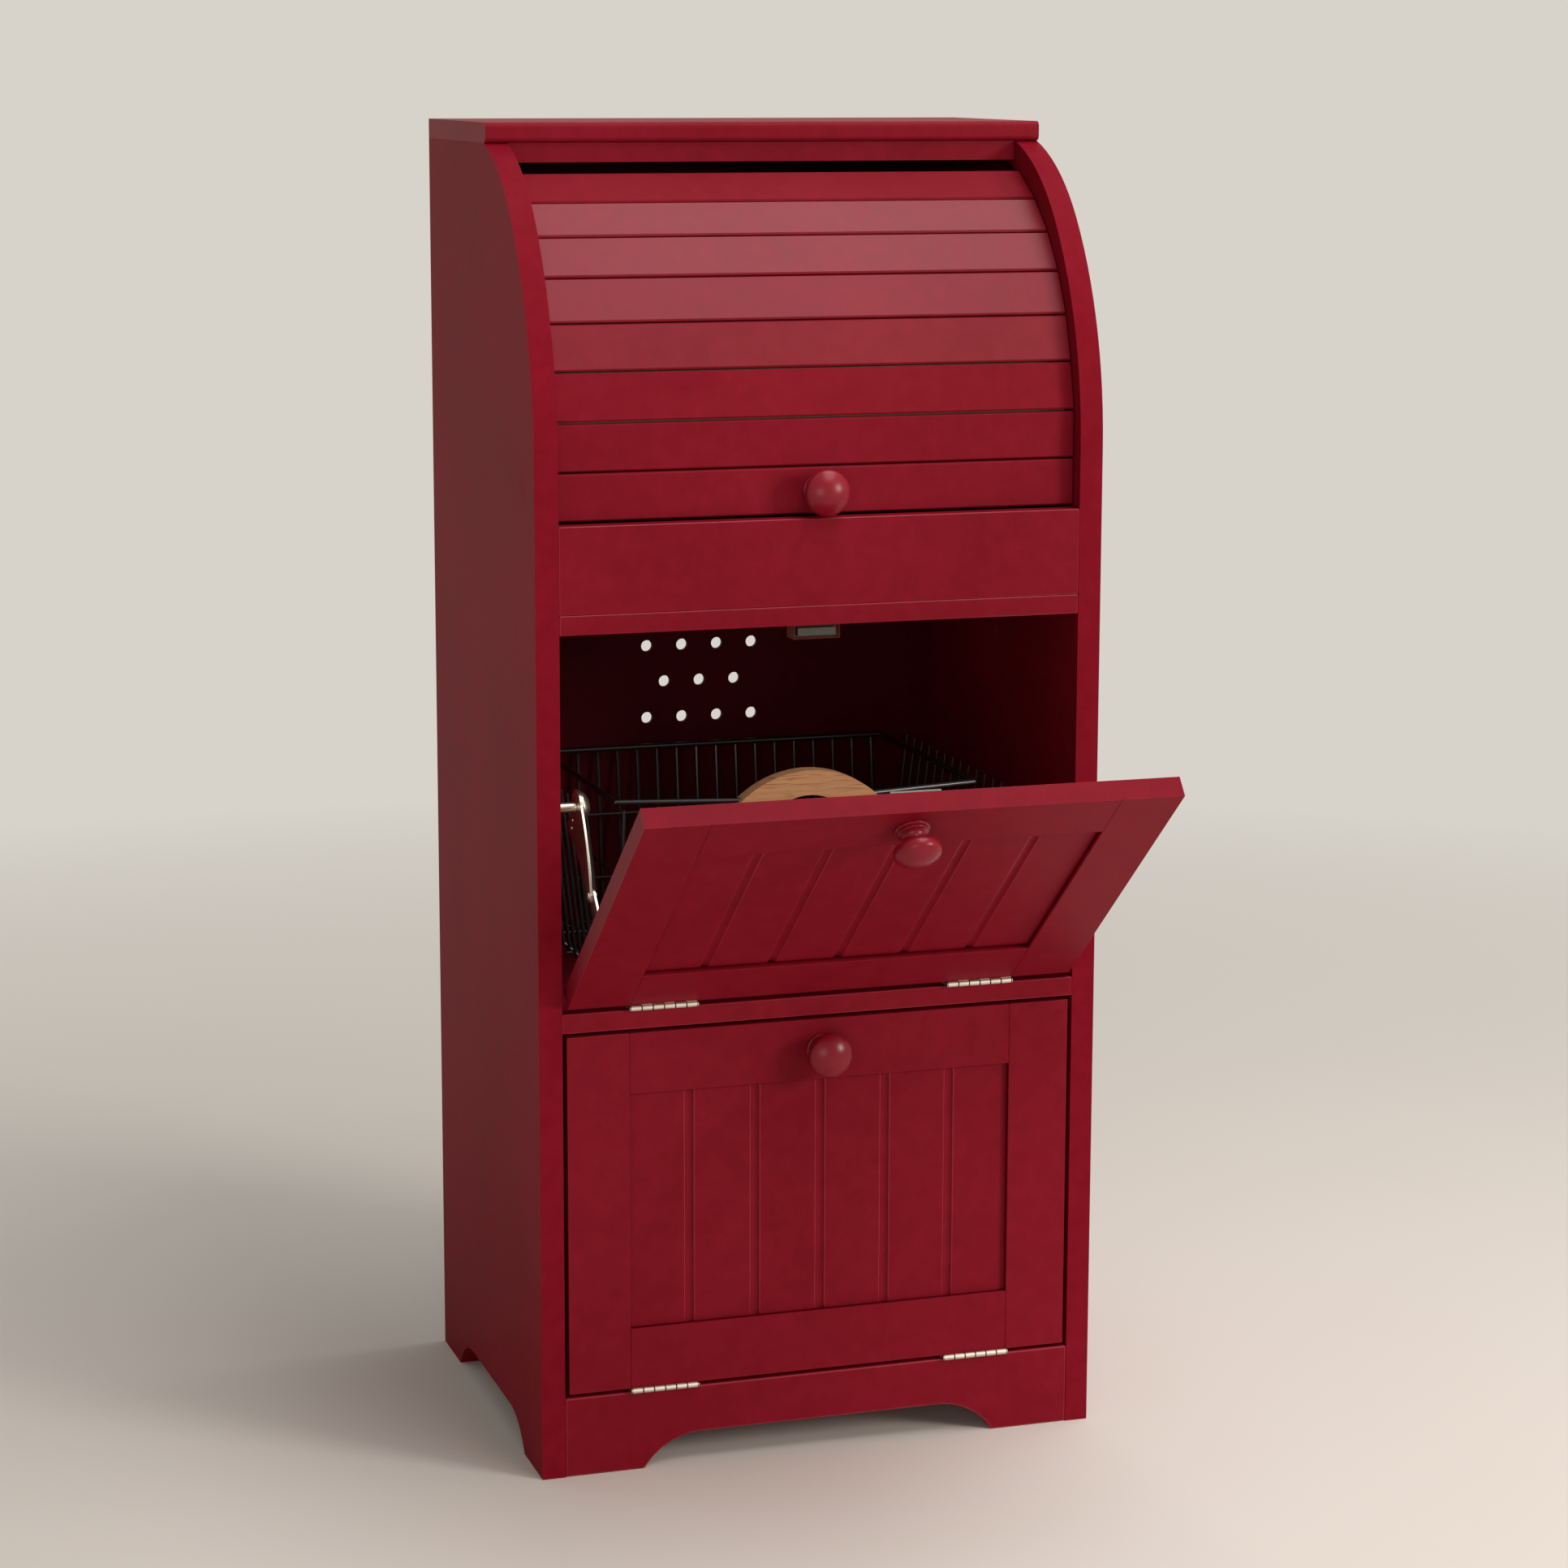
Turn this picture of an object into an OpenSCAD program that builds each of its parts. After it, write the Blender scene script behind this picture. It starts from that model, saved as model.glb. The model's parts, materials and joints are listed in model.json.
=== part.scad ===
// Tilt out vegetable bin cabinet: a bread box with a sliding tambour over two bins
// whose doors tilt out on stays, each bin holding a lift-out wire basket.
// Right is +X, back is +Y and up is +Z. The upper door rests open and the lower one shut.

/* [Carcass] */
// Width over the side panels
cabinet_w = 442; // [430:1:520]
// Depth of the side panels
cabinet_d = 332; // [330:1:370]
// Thickness of the side panels
side_t = 18; // [17:0.5:22]
// Thickness of the top, the shelves and the divider
board_t = 15; // [12:0.5:18]
// Thickness of the apron and the fascia
rail_t = 16; // [14:0.5:20]
// Height of the apron, to the top of the bottom shelf
apron_h = 62; // [55:1:75]
// Height of the fascia in front of the bread shelf
fascia_h = 65; // [50:1:70]
// Thickness of the back panel
back_t = 4; // [3:0.5:4.5]
// Depth of the rebate that holds the back panel
rebate_d = 5; // [4.5:0.5:7]
// Width of the rebate in each side panel
rebate_w = 9; // [6:0.5:10]
// How far the top board stands forward of the side panels' top corners
top_overhang = 5; // [2:0.5:12]
// Radius of the top board's front edges
top_edge_r = 4; // [2:0.5:6]
// Height of the rail under the top board
top_rail_h = 15; // [10:0.5:15]
// Thickness of the rail under the top board
top_rail_t = 12; // [9:0.5:15]

/* [Curved front] */
// Radius of the long curve of each side panel
curve_r = 270; // [260:1:280]
// Turn of the long curve in degrees
curve_turn = 39; // [36:0.5:41]
// Radius of the short curve above it
curve_top_r = 169; // [166:0.5:174]
// Angle above level at which the short curve meets the top board
curve_end_angle = 74; // [72:0.5:76]

/* [Feet] */
// Height of the arches between the feet
arch_h = 25; // [18:1:35]
// Radius of the arches' ends
arch_r = 54; // [40:1:70]
// Width of each foot of a side panel
side_foot = 57; // [45:1:75]
// Width of each foot of the apron, from the outer face of the side panel
apron_foot = 80; // [60:1:100]

/* [Tambour] */
// Radius of the slats' faces about the tambour's pivot
slat_r = 207; // [203:0.5:208]
// Distance of that pivot behind the front plane
arc_y = 222; // [219:0.5:224]
// Clearance between the turning slats and the top board
roof_gap = 3; // [2:0.5:6]
// How far the flat lower slats lie behind the front plane
slat_recess = 13; // [11:0.5:16]
// Height of the tambour's flat lower part
flat_h = 109; // [100:0.5:120]
// Clearance under the lowest slat
sill_gap = 1; // [0.6:0.1:2]
// Angle above level at which the upper slats start
arc_start_angle = 13.4; // [12.5:0.1:14.5]
// Angle above level at which the top slat's own height ends
arc_end_angle = 64; // [62:0.5:65]
// How far the top slat's lip reaches on under the rail
top_lip = 4; // [2:0.5:5]
// Thickness of the slats
slat_t = 9; // [7:0.5:10]
// Chamfer along the slats' front edges
slat_chamfer = 1.2; // [0.6:0.1:2]
// Half of the gap between two slats, in degrees
slat_gap_angle = 0.2; // [0.15:0.01:0.3]
// Thickness of the slats' tongues
tongue_t = 5; // [4:0.5:6]
// Length of the slats' tongues
tongue_l = 7; // [5:0.5:9]
// Play of the tongues in the grooves, all round
groove_play = 0.8; // [0.6:0.1:1.2]
// Play of the slats between the side panels, each side
slat_side_gap = 1; // [0.6:0.1:1.5]
// Thickness of the cloth behind the slats
canvas_t = 1; // [0.6:0.1:1.5]
// Margin of the cloth from the side panels
canvas_margin = 4; // [2:0.5:10]
// Turn of the tambour from shut to open, in degrees
tambour_turn = 52; // [40:1:52]

/* [Doors] */
// Height of each door
door_h = 277; // [270:1:285]
// Thickness of each door
door_t = 16; // [15:0.5:18]
// Gap above and below each door
door_gap = 3; // [2.8:0.1:4]
// Gap at each side of a door
door_side_gap = 3.5; // [2.5:0.5:5]
// Width of the stiles
stile_w = 48; // [42:1:60]
// Width of the door rails
door_rail_w = 47; // [40:1:60]
// Thickness of the beaded panel
panel_t = 9; // [8:0.5:9.5]
// Depth of the panel's face behind the frame
panel_recess = 4.5; // [3.5:0.5:5]
// Depth of the panel's edge in the frame
panel_tongue = 7; // [5:0.5:9]
// Number of bead grooves
beads = 5; // [3:2:7]
// Distance between bead grooves
bead_pitch = 52; // [36:1:54]
// Radius of the cutter that makes a bead groove
bead_r = 4.5; // [3.5:0.5:6]
// Depth of a bead groove
bead_depth = 2; // [1.5:0.1:3]
// Opening angle of the doors, in degrees
door_open = 50; // [50:1:50]

/* [Hinges] */
// Length of a hinge
hinge_l = 52; // [44:1:60]
// Knuckles on a hinge
knuckles = 6; // [4:2:8]
// Radius of the barrel
barrel_r = 2.15; // [2:0.05:2.15]
// Radius of the hinge pin
hinge_pin_r = 1; // [0.8:0.1:1.2]
// Play of the pin in the knuckles
pin_play = 0.05; // [0.03:0.01:0.08]
// Thickness of a leaf
leaf_t = 1.2; // [1:0.05:1.2]
// Width of a leaf
leaf_w = 13; // [10:0.5:13]
// How far the hinge axis stands out from the front plane
hinge_out = 2; // [2:0.1:2.5]

/* [Screws and dowels] */
// Radius of the small wood screws
screw_r = 1.4; // [1.2:0.1:1.6]
// Radius of the small screws' heads
screw_head_r = 2.8; // [2.4:0.1:3]
// Length of the small screws in the wood
screw_l = 13; // [9:1:14]
// Radius of the dowels
dowel_r = 3; // [2.5:0.5:3.5]
// Length of a dowel
dowel_l = 30; // [24:1:36]
// Depth of a dowel in a side panel
dowel_in_side = 10; // [7:0.5:12]
// Distance of the shelves' dowels from the front plane and from the back edge
dowel_inset = 60; // [40:1:90]
// Distance of the top board's dowels from the ends of the side panels' top edge
top_dowel_inset = 30; // [20:1:50]

/* [Knobs] */
// Radius of a knob's head
knob_r = 17.5; // [15:0.5:20]
// Radius of the rounding at the head's rim
knob_rim_r = 6; // [5:0.5:6.5]
// Height of the rim's middle above the door
knob_rim_h = 19; // [17:0.5:22]
// Radius of a knob's foot
knob_foot_r = 13; // [11:0.5:15]
// Radius of a knob's neck
knob_neck_r = 8; // [7:0.5:9]
// Distance of a door knob's axis below the door's top edge
knob_drop = 24; // [20:1:26]
// Radius of a knob's screw
knob_screw_r = 2; // [1.5:0.25:2.5]
// Depth of a knob's screw in the knob
knob_screw_in = 12; // [8:1:16]
// Height of the ring at a knob's foot
knob_ring_h = 2.2; // [1.5:0.1:3]
// Height of the neck's narrowest place above the foot
knob_neck_h = 9; // [8:0.5:10]
// Distance of the dome's centre below the rim's middle
knob_dome_drop = 14; // [12:0.5:16]

/* [Catches] */
// Width of a catch's housing
catch_w = 37; // [32:1:42]
// Depth of a catch's housing
catch_d = 16; // [14:1:20]
// Height of a catch's housing
catch_h = 13; // [11:1:14]
// Width over a catch's flanges
catch_flange_w = 52; // [50:1:60]
// Thickness of a catch's flanges
catch_flange_t = 2; // [1.5:0.5:3]
// Width of a catch's pole plates
pole_w = 30; // [24:1:34]
// Height of a catch's pole plates
pole_h = 6.5; // [5:0.5:8]
// Width of a strike plate
strike_w = 38; // [32:1:42]
// Height of a strike plate
strike_h = 34; // [30:1:38]
// Thickness of a strike plate
strike_t = 1.5; // [1:0.1:2]
// Gap between a strike plate and its catch
strike_gap = 0.4; // [0.3:0.1:1]

/* [Stays] */
// Distance of a stay's hub behind the front plane
hub_y = 31; // [31:0.5:32]
// Height of a stay's hub above the door's hinge axis
hub_h = 148.5; // [148:0.5:149]
// Distance of the arm from the side panel
arm_out = 19.5; // [18:0.5:19.5]
// Length of the arm between its pivots
arm_l = 70; // [70:0.5:71]
// Length of the link between its pivots
link_l = 40; // [40:0.5:41]
// Height of the door bracket's pin above the hinge axis
pin_h = 62; // [61:0.5:62]
// Distance of that pin behind the hinge axis
pin_in = 26; // [26:0.5:27]
// Thickness of the arm and the link
stay_t = 2; // [1.5:0.1:2.2]
// Radius of the arm's head
head_r = 13; // [11:0.5:13]
// How far the arm's broad back reaches behind the middle of its head
arm_back = 32; // [24:1:34]
// Height of the domed cap
dome_h = 8.5; // [6:0.5:8.5]
// Radius of the pivots in the hub
hub_pin_r = 2.5; // [2:0.25:3]
// Radius of the pivot on the door
door_pin_r = 2; // [1.5:0.25:2.5]
// Play of the stay's pivots
stay_play = 0.05; // [0.03:0.01:0.08]
// Gap between the arm and the link
stay_gap = 0.3; // [0.3:0.05:0.5]
// Half width of the arm at its lower end and of the link
link_half_w = 5; // [4:0.5:6]
// Width of the plate on the side panel
side_plate_w = 16; // [13:0.5:18]
// Height of the plate on the side panel
side_plate_h = 46; // [42:1:54]
// Thickness of the plate on the side panel
side_plate_t = 2; // [1.5:0.1:2.5]
// Width of the plate on the door
bracket_w = 13; // [12:0.5:16]
// Height of the plate on the door
bracket_h = 34; // [30:1:40]
// Radius of the eye that holds the door's pin
eye_r = 7; // [6:0.5:7]

/* [Baskets] */
// Gap between a basket's rim and each side panel, which holds the stay
basket_side_gap = 33; // [32:0.5:40]
// Gap between a basket's rim and the back panel
basket_back_gap = 17; // [15:1:30]
// Height of a basket's rim above its shelf
basket_h = 145; // [130:1:160]
// Distance of a basket's rim behind the front plane
basket_y = 38; // [38:1:42]
// Radius of the rim wire
rim_r = 2.25; // [2:0.25:2.5]
// Radius of the other wires
wire_r = 1.5; // [1.25:0.25:1.75]
// Radius of a basket's corners
basket_corner_r = 24; // [20:1:30]
// Slope of a basket's walls, in degrees
basket_slope = 4; // [2:0.5:5]
// Upright wires in a long wall
long_wires = 18; // [14:2:20]
// Upright wires in a short wall
short_wires = 13; // [9:1:15]
// Clearance under a basket
basket_clear = 0.3; // [0.3:0.1:1]
// Width of a basket's handle at the rim
handle_w = 110; // [100:1:120]
// Height of a handle above the rim
handle_up = 22; // [18:1:26]
// Depth of a handle below the rim
handle_down = 26; // [26:1:32]
// Thickness of a handle
handle_t = 14; // [10:1:16]
// Width of the wooden band over a handle's finger slot
handle_band = 19; // [16:0.5:20]
// Radius of the finger slot's arched top
slot_r = 41; // [38:0.5:44]
// Height of the bar under the finger slot
handle_bar = 11; // [8:0.5:11]
// Length of the rim wire's ends in the handle
wire_in = 13; // [8:1:18]

/* [Vents] */
// Radius of a vent hole
vent_r = 4.75; // [3:0.25:6]
// Distance between vent holes
vent_pitch = 30; // [22:1:34]
// Distance of the top row of vents below the shelf above
vent_drop = 62; // [50:1:80]

/* [Cover caps] */
// Radius of a cover cap
cap_r = 7.5; // [6:0.5:8]
// Height of a cover cap above the side panel
cap_t = 1.6; // [1:0.1:2]
// Radius of a cap's stem
cap_stem_r = 2.5; // [2:0.25:3]
// Length of a cap's stem in the side panel
cap_stem_l = 8; // [6:0.5:10]
// Distance of a cap behind the front plane
cap_y = 177; // [150:1:200]
// Distance of a cap below the shelf above it
cap_drop = 37.5; // [30:0.5:45]

/* [Hidden] */
$fn = 64;

red = [0.50, 0.11, 0.15];
nickel = [0.78, 0.76, 0.72];
black = [0.06, 0.06, 0.06];
oak = [0.78, 0.60, 0.40];
brown = [0.35, 0.18, 0.12];
linen = [0.70, 0.62, 0.50];

// Heights of the stack, from the floor up
inner_w = cabinet_w - 2 * side_t;
opening_h = door_h + 2 * door_gap;
divider_z = apron_h + opening_h;
upper_z = divider_z + board_t;
bread_z = upper_z + opening_h;
fascia_z = bread_z + board_t;
fascia_top = fascia_z + fascia_h;
shelf_back = cabinet_d - rebate_d;
slats = 8;
flat_slats = 3;
slat_bottom = fascia_top + sill_gap;
arc_z = slat_bottom + flat_h - slat_r * sin(arc_start_angle);
side_h = arc_z + slat_r + roof_gap;
cabinet_h = side_h + board_t;

// The side panels' curve: two arcs that meet at one tangent
curve_drop = curve_r * sin(curve_turn) + curve_top_r * (sin(curve_end_angle) - sin(curve_turn));
curve_c = [curve_r, side_h - curve_drop];
curve_join = curve_c + curve_r * [-cos(curve_turn), sin(curve_turn)];
curve_top_c = curve_join + curve_top_r * [cos(curve_turn), -sin(curve_turn)];
curve_step = 0.03;
top_front = curve_top_c[0] - curve_top_r * cos(curve_end_angle);

// The tambour: flat lower slats, then slats on one circle about its pivot
flat_pitch = flat_h / flat_slats;
arc_step = (arc_end_angle - arc_start_angle) / (slats - flat_slats);
lip_a = top_lip / slat_r * 180 / PI;
back_r = slat_r - slat_t;
tongue_r = back_r + tongue_t;
groove_in = back_r * cos(arc_step / 2) - groove_play;
groove_out = tongue_r + groove_play;
groove_l = tongue_l + slat_side_gap;
groove_spare = 1.5;
groove_from = atan2(slat_bottom - arc_z, arc_y - slat_recess) - groove_spare;
groove_to = arc_end_angle + lip_a + tambour_turn + groove_spare;
slat_w = inner_w - 2 * slat_side_gap;
chamfer_a = slat_chamfer / slat_r * 180 / PI;
cove_gap = 1.5;

// The doors and their hinges
door_w = inner_w - 2 * door_side_gap;
panel_w = door_w - 2 * stile_w;
panel_h = door_h - 2 * door_rail_w;
frame_groove = panel_tongue + 1;
door_base = door_gap / 2;
door_front = hinge_out;
door_back = door_front + door_t;
hinge_x = door_w / 2 - stile_w - hinge_l / 2;
upper_hinge_z = upper_z + door_gap / 2;
lower_hinge_z = apron_h + door_gap / 2;
knuckle_l = hinge_l / knuckles;
knuckle_gap = 0.15;
leaf_clear = 0.4;
leaf_y = barrel_r + leaf_clear;
leaf_screw_y = leaf_y + leaf_w / 2;
leaf_screws = 3;
leaf_screw_pitch = hinge_l / leaf_screws;
pin_cap_t = 0.6;

// The knobs
knob_z = door_base + door_h - knob_drop;
knob_rim_c = [knob_r - knob_rim_r, knob_rim_h];
knob_dome_z = knob_rim_h - knob_dome_drop;
knob_dome_r = knob_rim_r + norm(knob_rim_c - [0, knob_dome_z]);
screw_head_h = 2.4;

// The stays, worked out from the door's angle
function door_pin(t) = [
    -(pin_h * sin(t) - pin_in * cos(t)),
    pin_h * cos(t) + pin_in * sin(t)
];
hub = [hub_y + hinge_out, hub_h];
function reach(t) = norm(door_pin(t) - hub);
function arm_angle(t) = atan2((door_pin(t) - hub)[1], (door_pin(t) - hub)[0])
    + acos((arm_l * arm_l + reach(t) * reach(t) - link_l * link_l) / (2 * arm_l * reach(t)));
function knee(t) = hub + arm_l * [cos(arm_angle(t)), sin(arm_angle(t))];
function link_angle(t) = atan2((knee(t) - door_pin(t))[1], (knee(t) - door_pin(t))[0]);
arm_x = -inner_w / 2 + arm_out;
link_x = arm_x + stay_t + stay_gap;
flange_x = link_x + stay_t + 0.5;
flange_t = 1.8;
side_screw_h = side_plate_h / 2 - 6;
door_screw_h = bracket_h / 2 - 7;
hub_post_r = 4;
rivet_head_r = 3;
rivet_head_h = 1.2;
arm_bow = 4;
arm_corner_r = 6;
arm_rivet_r = 1.6;
arm_rivets = [[15, -5], [21, -9]];
dome_margin = 1;
dome_rim = 1.5;

// The baskets
basket_w = inner_w - 2 * basket_side_gap;
basket_d = shelf_back - basket_y - basket_back_gap;
rim_x = basket_w / 2 - rim_r;
rim_y = basket_d / 2 - rim_r;
basket_mid = basket_y + basket_d / 2;
floor_h = basket_clear + wire_r;
drop = basket_h - floor_h;
wall_l = drop / cos(basket_slope);
floor_in = drop * tan(basket_slope);
wall_long = rim_x - basket_corner_r;
wall_short = rim_y - basket_corner_r;
rings = [0.38, 0.74, 1];
weld = 0.4;
touch = 0.05;
handle_arc_r = ((handle_w / 2) ^ 2 + handle_up ^ 2) / (2 * handle_up);
slot_top = handle_up - handle_band;
slot_bottom = handle_bar - handle_down;
wire_end = handle_w / 2 - wire_in;

// The catches and the strike plates
catch_y = door_back - hinge_out + strike_t + strike_gap;
strike_z = door_base + door_h - strike_h;
pole_fit = 0.1;
pole_d = catch_d - 4;

// The furthest point forward is the rim of the open upper door's knob
knob_out = (knob_z + knob_rim_c[0]) * sin(door_open)
    + (knob_rim_h - door_front) * cos(door_open) + knob_rim_r;
front_y = -hinge_out - knob_out;
mid_y = (front_y + cabinet_d) / 2;
over = 1;

// Puts the middle of the whole cabinet, with its door open, on the origin
module placed() translate([0, -mid_y, 0]) children();

// Draws a shape given as depth and height, and extrudes it across the width
module along_x(length) rotate([90, 0, 90]) linear_extrude(height = length, center = true) children();

// Puts a shape on a door: its origin is then on the hinge axis
module at_hinge_axis(z) translate([0, -hinge_out, z]) children();
module on_lower_door() placed() at_hinge_axis(lower_hinge_z) children();
module on_upper_door() {
    placed() at_hinge_axis(upper_hinge_z) rotate([door_open, 0, 0]) children();
}

module sector(c, r, from, to) {
    reach = 2 * r;
    intersection() {
        translate(c) circle(r);
        translate(c) polygon([
            [0, 0],
            reach * [cos(from), sin(from)],
            reach * [cos((from + to) / 2), sin((from + to) / 2)],
            reach * [cos(to), sin(to)]
        ]);
    }
}

// The space between two feet, with its left end at the origin
module arch(length) {
    end = sqrt(arch_r * arch_r - (arch_r - arch_h) * (arch_r - arch_h));
    for (x = [end, length - end]) translate([x, arch_h - arch_r]) circle(arch_r);
    translate([end, -arch_r]) square([length - 2 * end, arch_r + arch_h]);
}

// ---- dowels ----

// Depth and height of each dowel in a side panel
shelf_mids = [apron_h, divider_z + board_t, bread_z + board_t] - board_t / 2 * [1, 1, 1];
side_dowels = concat(
    [for (z = shelf_mids, y = [dowel_inset, cabinet_d - dowel_inset]) [y, z]],
    [for (share = [1 / 4, 3 / 4]) [rail_t / 2, fascia_z + share * fascia_h]],
    [for (share = [1 / 2, 4 / 5]) [rail_t / 2, share * apron_h]]
);
top_dowel_y = [top_front + top_dowel_inset, cabinet_d - top_dowel_inset];

module dowels() {
    for (side = [-1, 1]) {
        for (p = side_dowels)
            translate([side * (inner_w / 2 + dowel_in_side - dowel_l / 2), p[0], p[1]])
                rotate([0, 90, 0]) cylinder(r = dowel_r, h = dowel_l, center = true);
        for (y = top_dowel_y)
            translate([side * (cabinet_w / 2 - 2 * dowel_r), y, side_h + dowel_in_side - dowel_l])
                cylinder(r = dowel_r, h = dowel_l);
    }
}

// ---- cover caps ----

module caps() {
    for (side = [-1, 1], z = [bread_z, divider_z])
        translate([side * inner_w / 2, cap_y, z - cap_drop]) rotate([0, -side * 90, 0]) {
            cylinder(r = cap_r, h = cap_t);
            translate([0, 0, -cap_stem_l]) cylinder(r = cap_stem_r, h = cap_stem_l);
        }
}

// ---- small screws ----

// One wood screw whose head's top is at the origin and whose point looks down
module screw(head_h) {
    translate([0, 0, -head_h]) cylinder(r1 = screw_r, r2 = screw_head_r, h = head_h);
    translate([0, 0, -head_h - screw_l]) cylinder(r = screw_r, h = screw_l);
}

module at_leaf_screws() {
    for (side = [-1, 1], i = [0 : leaf_screws - 1])
        translate([side * hinge_x + (i - (leaf_screws - 1) / 2) * leaf_screw_pitch, leaf_screw_y, 0])
            children();
}

module cabinet_leaf_screws(z) {
    at_hinge_axis(z) at_leaf_screws() translate([0, 0, leaf_t - door_gap / 2]) screw(leaf_t);
}

module at_catch_screws(z) {
    for (side = [-1, 1])
        translate([side * (catch_w + catch_flange_w) / 4, catch_y + catch_d / 2, z]) children();
}

module catch_screws(z) {
    at_catch_screws(z - catch_flange_t) rotate([180, 0, 0]) screw(catch_flange_t);
}

module stay_side_screws(z) {
    for (up = [-1, 1])
        translate([-inner_w / 2 + side_plate_t, hub_y, z + hub_h + up * side_screw_h])
            rotate([0, 90, 0]) screw(side_plate_t);
}

// The screws round the back panel's edges
module back_screws() {
    for (side = [-1, 1], i = [0 : back_screw_rows - 1])
        translate([side * (inner_w + rebate_w) / 2, shelf_back + back_t, back_screw_z + i * back_screw_pitch])
            rotate([-90, 0, 0]) screw(back_head_h);
}
back_screw_rows = 5;
back_head_h = 1.4;
back_screw_low = 40;
back_screw_high = 130;
back_screw_z = apron_h + back_screw_low;
back_screw_pitch = (side_h - back_screw_high - back_screw_z) / (back_screw_rows - 1);

module all_cabinet_screws() {
    back_screws();
    for (z = [upper_hinge_z, lower_hinge_z]) {
        cabinet_leaf_screws(z);
        stay_side_screws(z);
    }
    for (z = [bread_z, divider_z]) catch_screws(z);
}

module door_leaf_screws() {
    at_leaf_screws() translate([0, 0, door_gap / 2 - leaf_t]) rotate([180, 0, 0]) screw(leaf_t);
}

module stay_door_screws() {
    for (up = [-1, 1])
        translate([flange_x + (bracket_w + flange_t) / 2, door_back + flange_t, pin_h + up * door_screw_h])
            rotate([-90, 0, 0]) screw(flange_t);
}

// The long screw through a door rail or slat into a knob; its head is at the origin
module knob_screw(through) {
    translate([0, screw_head_h / 2, 0]) rotate([90, 0, 0])
        cylinder(r = 2 * knob_screw_r, h = screw_head_h, center = true);
    rotate([90, 0, 0]) cylinder(r = knob_screw_r, h = through + knob_screw_in);
}

module door_knob_screw() {
    translate([0, door_back + strike_t, knob_z]) knob_screw(door_t + strike_t);
}

module door_screws() {
    color(nickel) {
        door_leaf_screws();
        stay_door_screws();
        door_knob_screw();
    }
}

// ---- carcass ----

module tambour_groove(side) {
    x = side > 0 ? -inner_w / 2 - groove_l : inner_w / 2 - over;
    translate([0, arc_y, arc_z]) rotate([90, 0, -90]) rotate([0, 0, groove_from])
        rotate_extrude(angle = groove_to - groove_from)
            translate([groove_in, x]) square([groove_out - groove_in, groove_l + over]);
}

module side_outline() {
    difference() {
        union() {
            polygon([
                [0, 0], [cabinet_d, 0], [cabinet_d, side_h], [top_front, side_h],
                curve_top_c, curve_c, [0, curve_c[1]]
            ]);
            sector(curve_c, curve_r, 180 - curve_turn, 180);
            sector(curve_top_c, curve_top_r - curve_step, 180 - curve_end_angle, 180 - curve_turn);
        }
        translate([side_foot, 0]) arch(cabinet_d - 2 * side_foot);
    }
}

module side_panel(side) {
    color(red) difference() {
        translate([side * (cabinet_w - side_t) / 2, 0, 0]) along_x(side_t) side_outline();
        tambour_groove(side);
        translate([side * (inner_w / 2 + (rebate_w - over) / 2), cabinet_d, side_h / 2])
            cube([rebate_w + over, 2 * rebate_d, side_h + over], center = true);
        dowels();
        caps();
        back_screws();
        if (side < 0) for (z = [upper_hinge_z, lower_hinge_z]) stay_side_screws(z);
    }
}

module left_side_panel() placed() side_panel(-1);
module right_side_panel() placed() side_panel(1);

module top_board() {
    front = top_front - top_overhang;
    color(red) placed() difference() {
        along_x(cabinet_w) {
            translate([front, side_h + top_edge_r]) square([cabinet_d - front, board_t - 2 * top_edge_r]);
            translate([front + top_edge_r, side_h])
                square([cabinet_d - front - top_edge_r, board_t]);
            for (z = [side_h + top_edge_r, cabinet_h - top_edge_r])
                translate([front + top_edge_r, z]) circle(top_edge_r - curve_step);
        }
        dowels();
    }
}

module top_rail() {
    color(red) placed() difference() {
        translate([-inner_w / 2, top_front, side_h - top_rail_h]) cube([inner_w, top_rail_t, top_rail_h]);
        translate([0, arc_y, arc_z]) rotate([0, 90, 0])
            cylinder(r = slat_r + cove_gap, h = cabinet_w, center = true);
    }
}

// A staggered patch of vent holes whose top row is at z
module vent_patch(z) {
    for (row = [0 : 2]) {
        holes = row % 2 == 0 ? 4 : 3;
        for (i = [0 : holes - 1])
            translate([(i - (holes - 1) / 2) * vent_pitch, cabinet_d, z - row * vent_pitch])
                rotate([90, 0, 0]) cylinder(r = vent_r, h = 4 * rebate_d, center = true);
    }
}

module back_panel() {
    w = inner_w + 2 * rebate_w - 1;
    z0 = apron_h - board_t;
    color(red) placed() difference() {
        translate([-w / 2, shelf_back, z0]) cube([w, back_t, side_h - z0]);
        for (z = [bread_z, divider_z]) vent_patch(z - vent_drop);
        back_screws();
    }
}

module shelf(z, front) {
    translate([-inner_w / 2, front, z]) cube([inner_w, shelf_back - front, board_t]);
}

module bread_shelf() {
    color(red) placed() difference() {
        shelf(bread_z, 0);
        dowels();
        catch_screws(bread_z);
    }
}

module front_fascia() {
    color(red) placed() difference() {
        translate([-inner_w / 2, 0, fascia_z]) cube([inner_w, rail_t, fascia_h]);
        dowels();
    }
}

module divider_shelf() {
    color(red) placed() difference() {
        shelf(divider_z, 0);
        dowels();
        catch_screws(divider_z);
        cabinet_leaf_screws(upper_hinge_z);
    }
}

module bottom_shelf() {
    color(red) placed() difference() {
        shelf(apron_h - board_t, rail_t);
        dowels();
    }
}

module apron() {
    color(red) placed() difference() {
        translate([0, rail_t / 2, 0]) rotate([90, 0, 0]) linear_extrude(height = rail_t, center = true)
            difference() {
                translate([-inner_w / 2, 0]) square([inner_w, apron_h]);
                translate([apron_foot - cabinet_w / 2, 0]) arch(cabinet_w - 2 * apron_foot);
            }
        dowels();
        cabinet_leaf_screws(lower_hinge_z);
    }
}

module shelf_dowels() color(oak) placed() dowels();
module cover_caps() color(red) placed() caps();
module cabinet_screws() color(nickel) placed() all_cabinet_screws();

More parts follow.
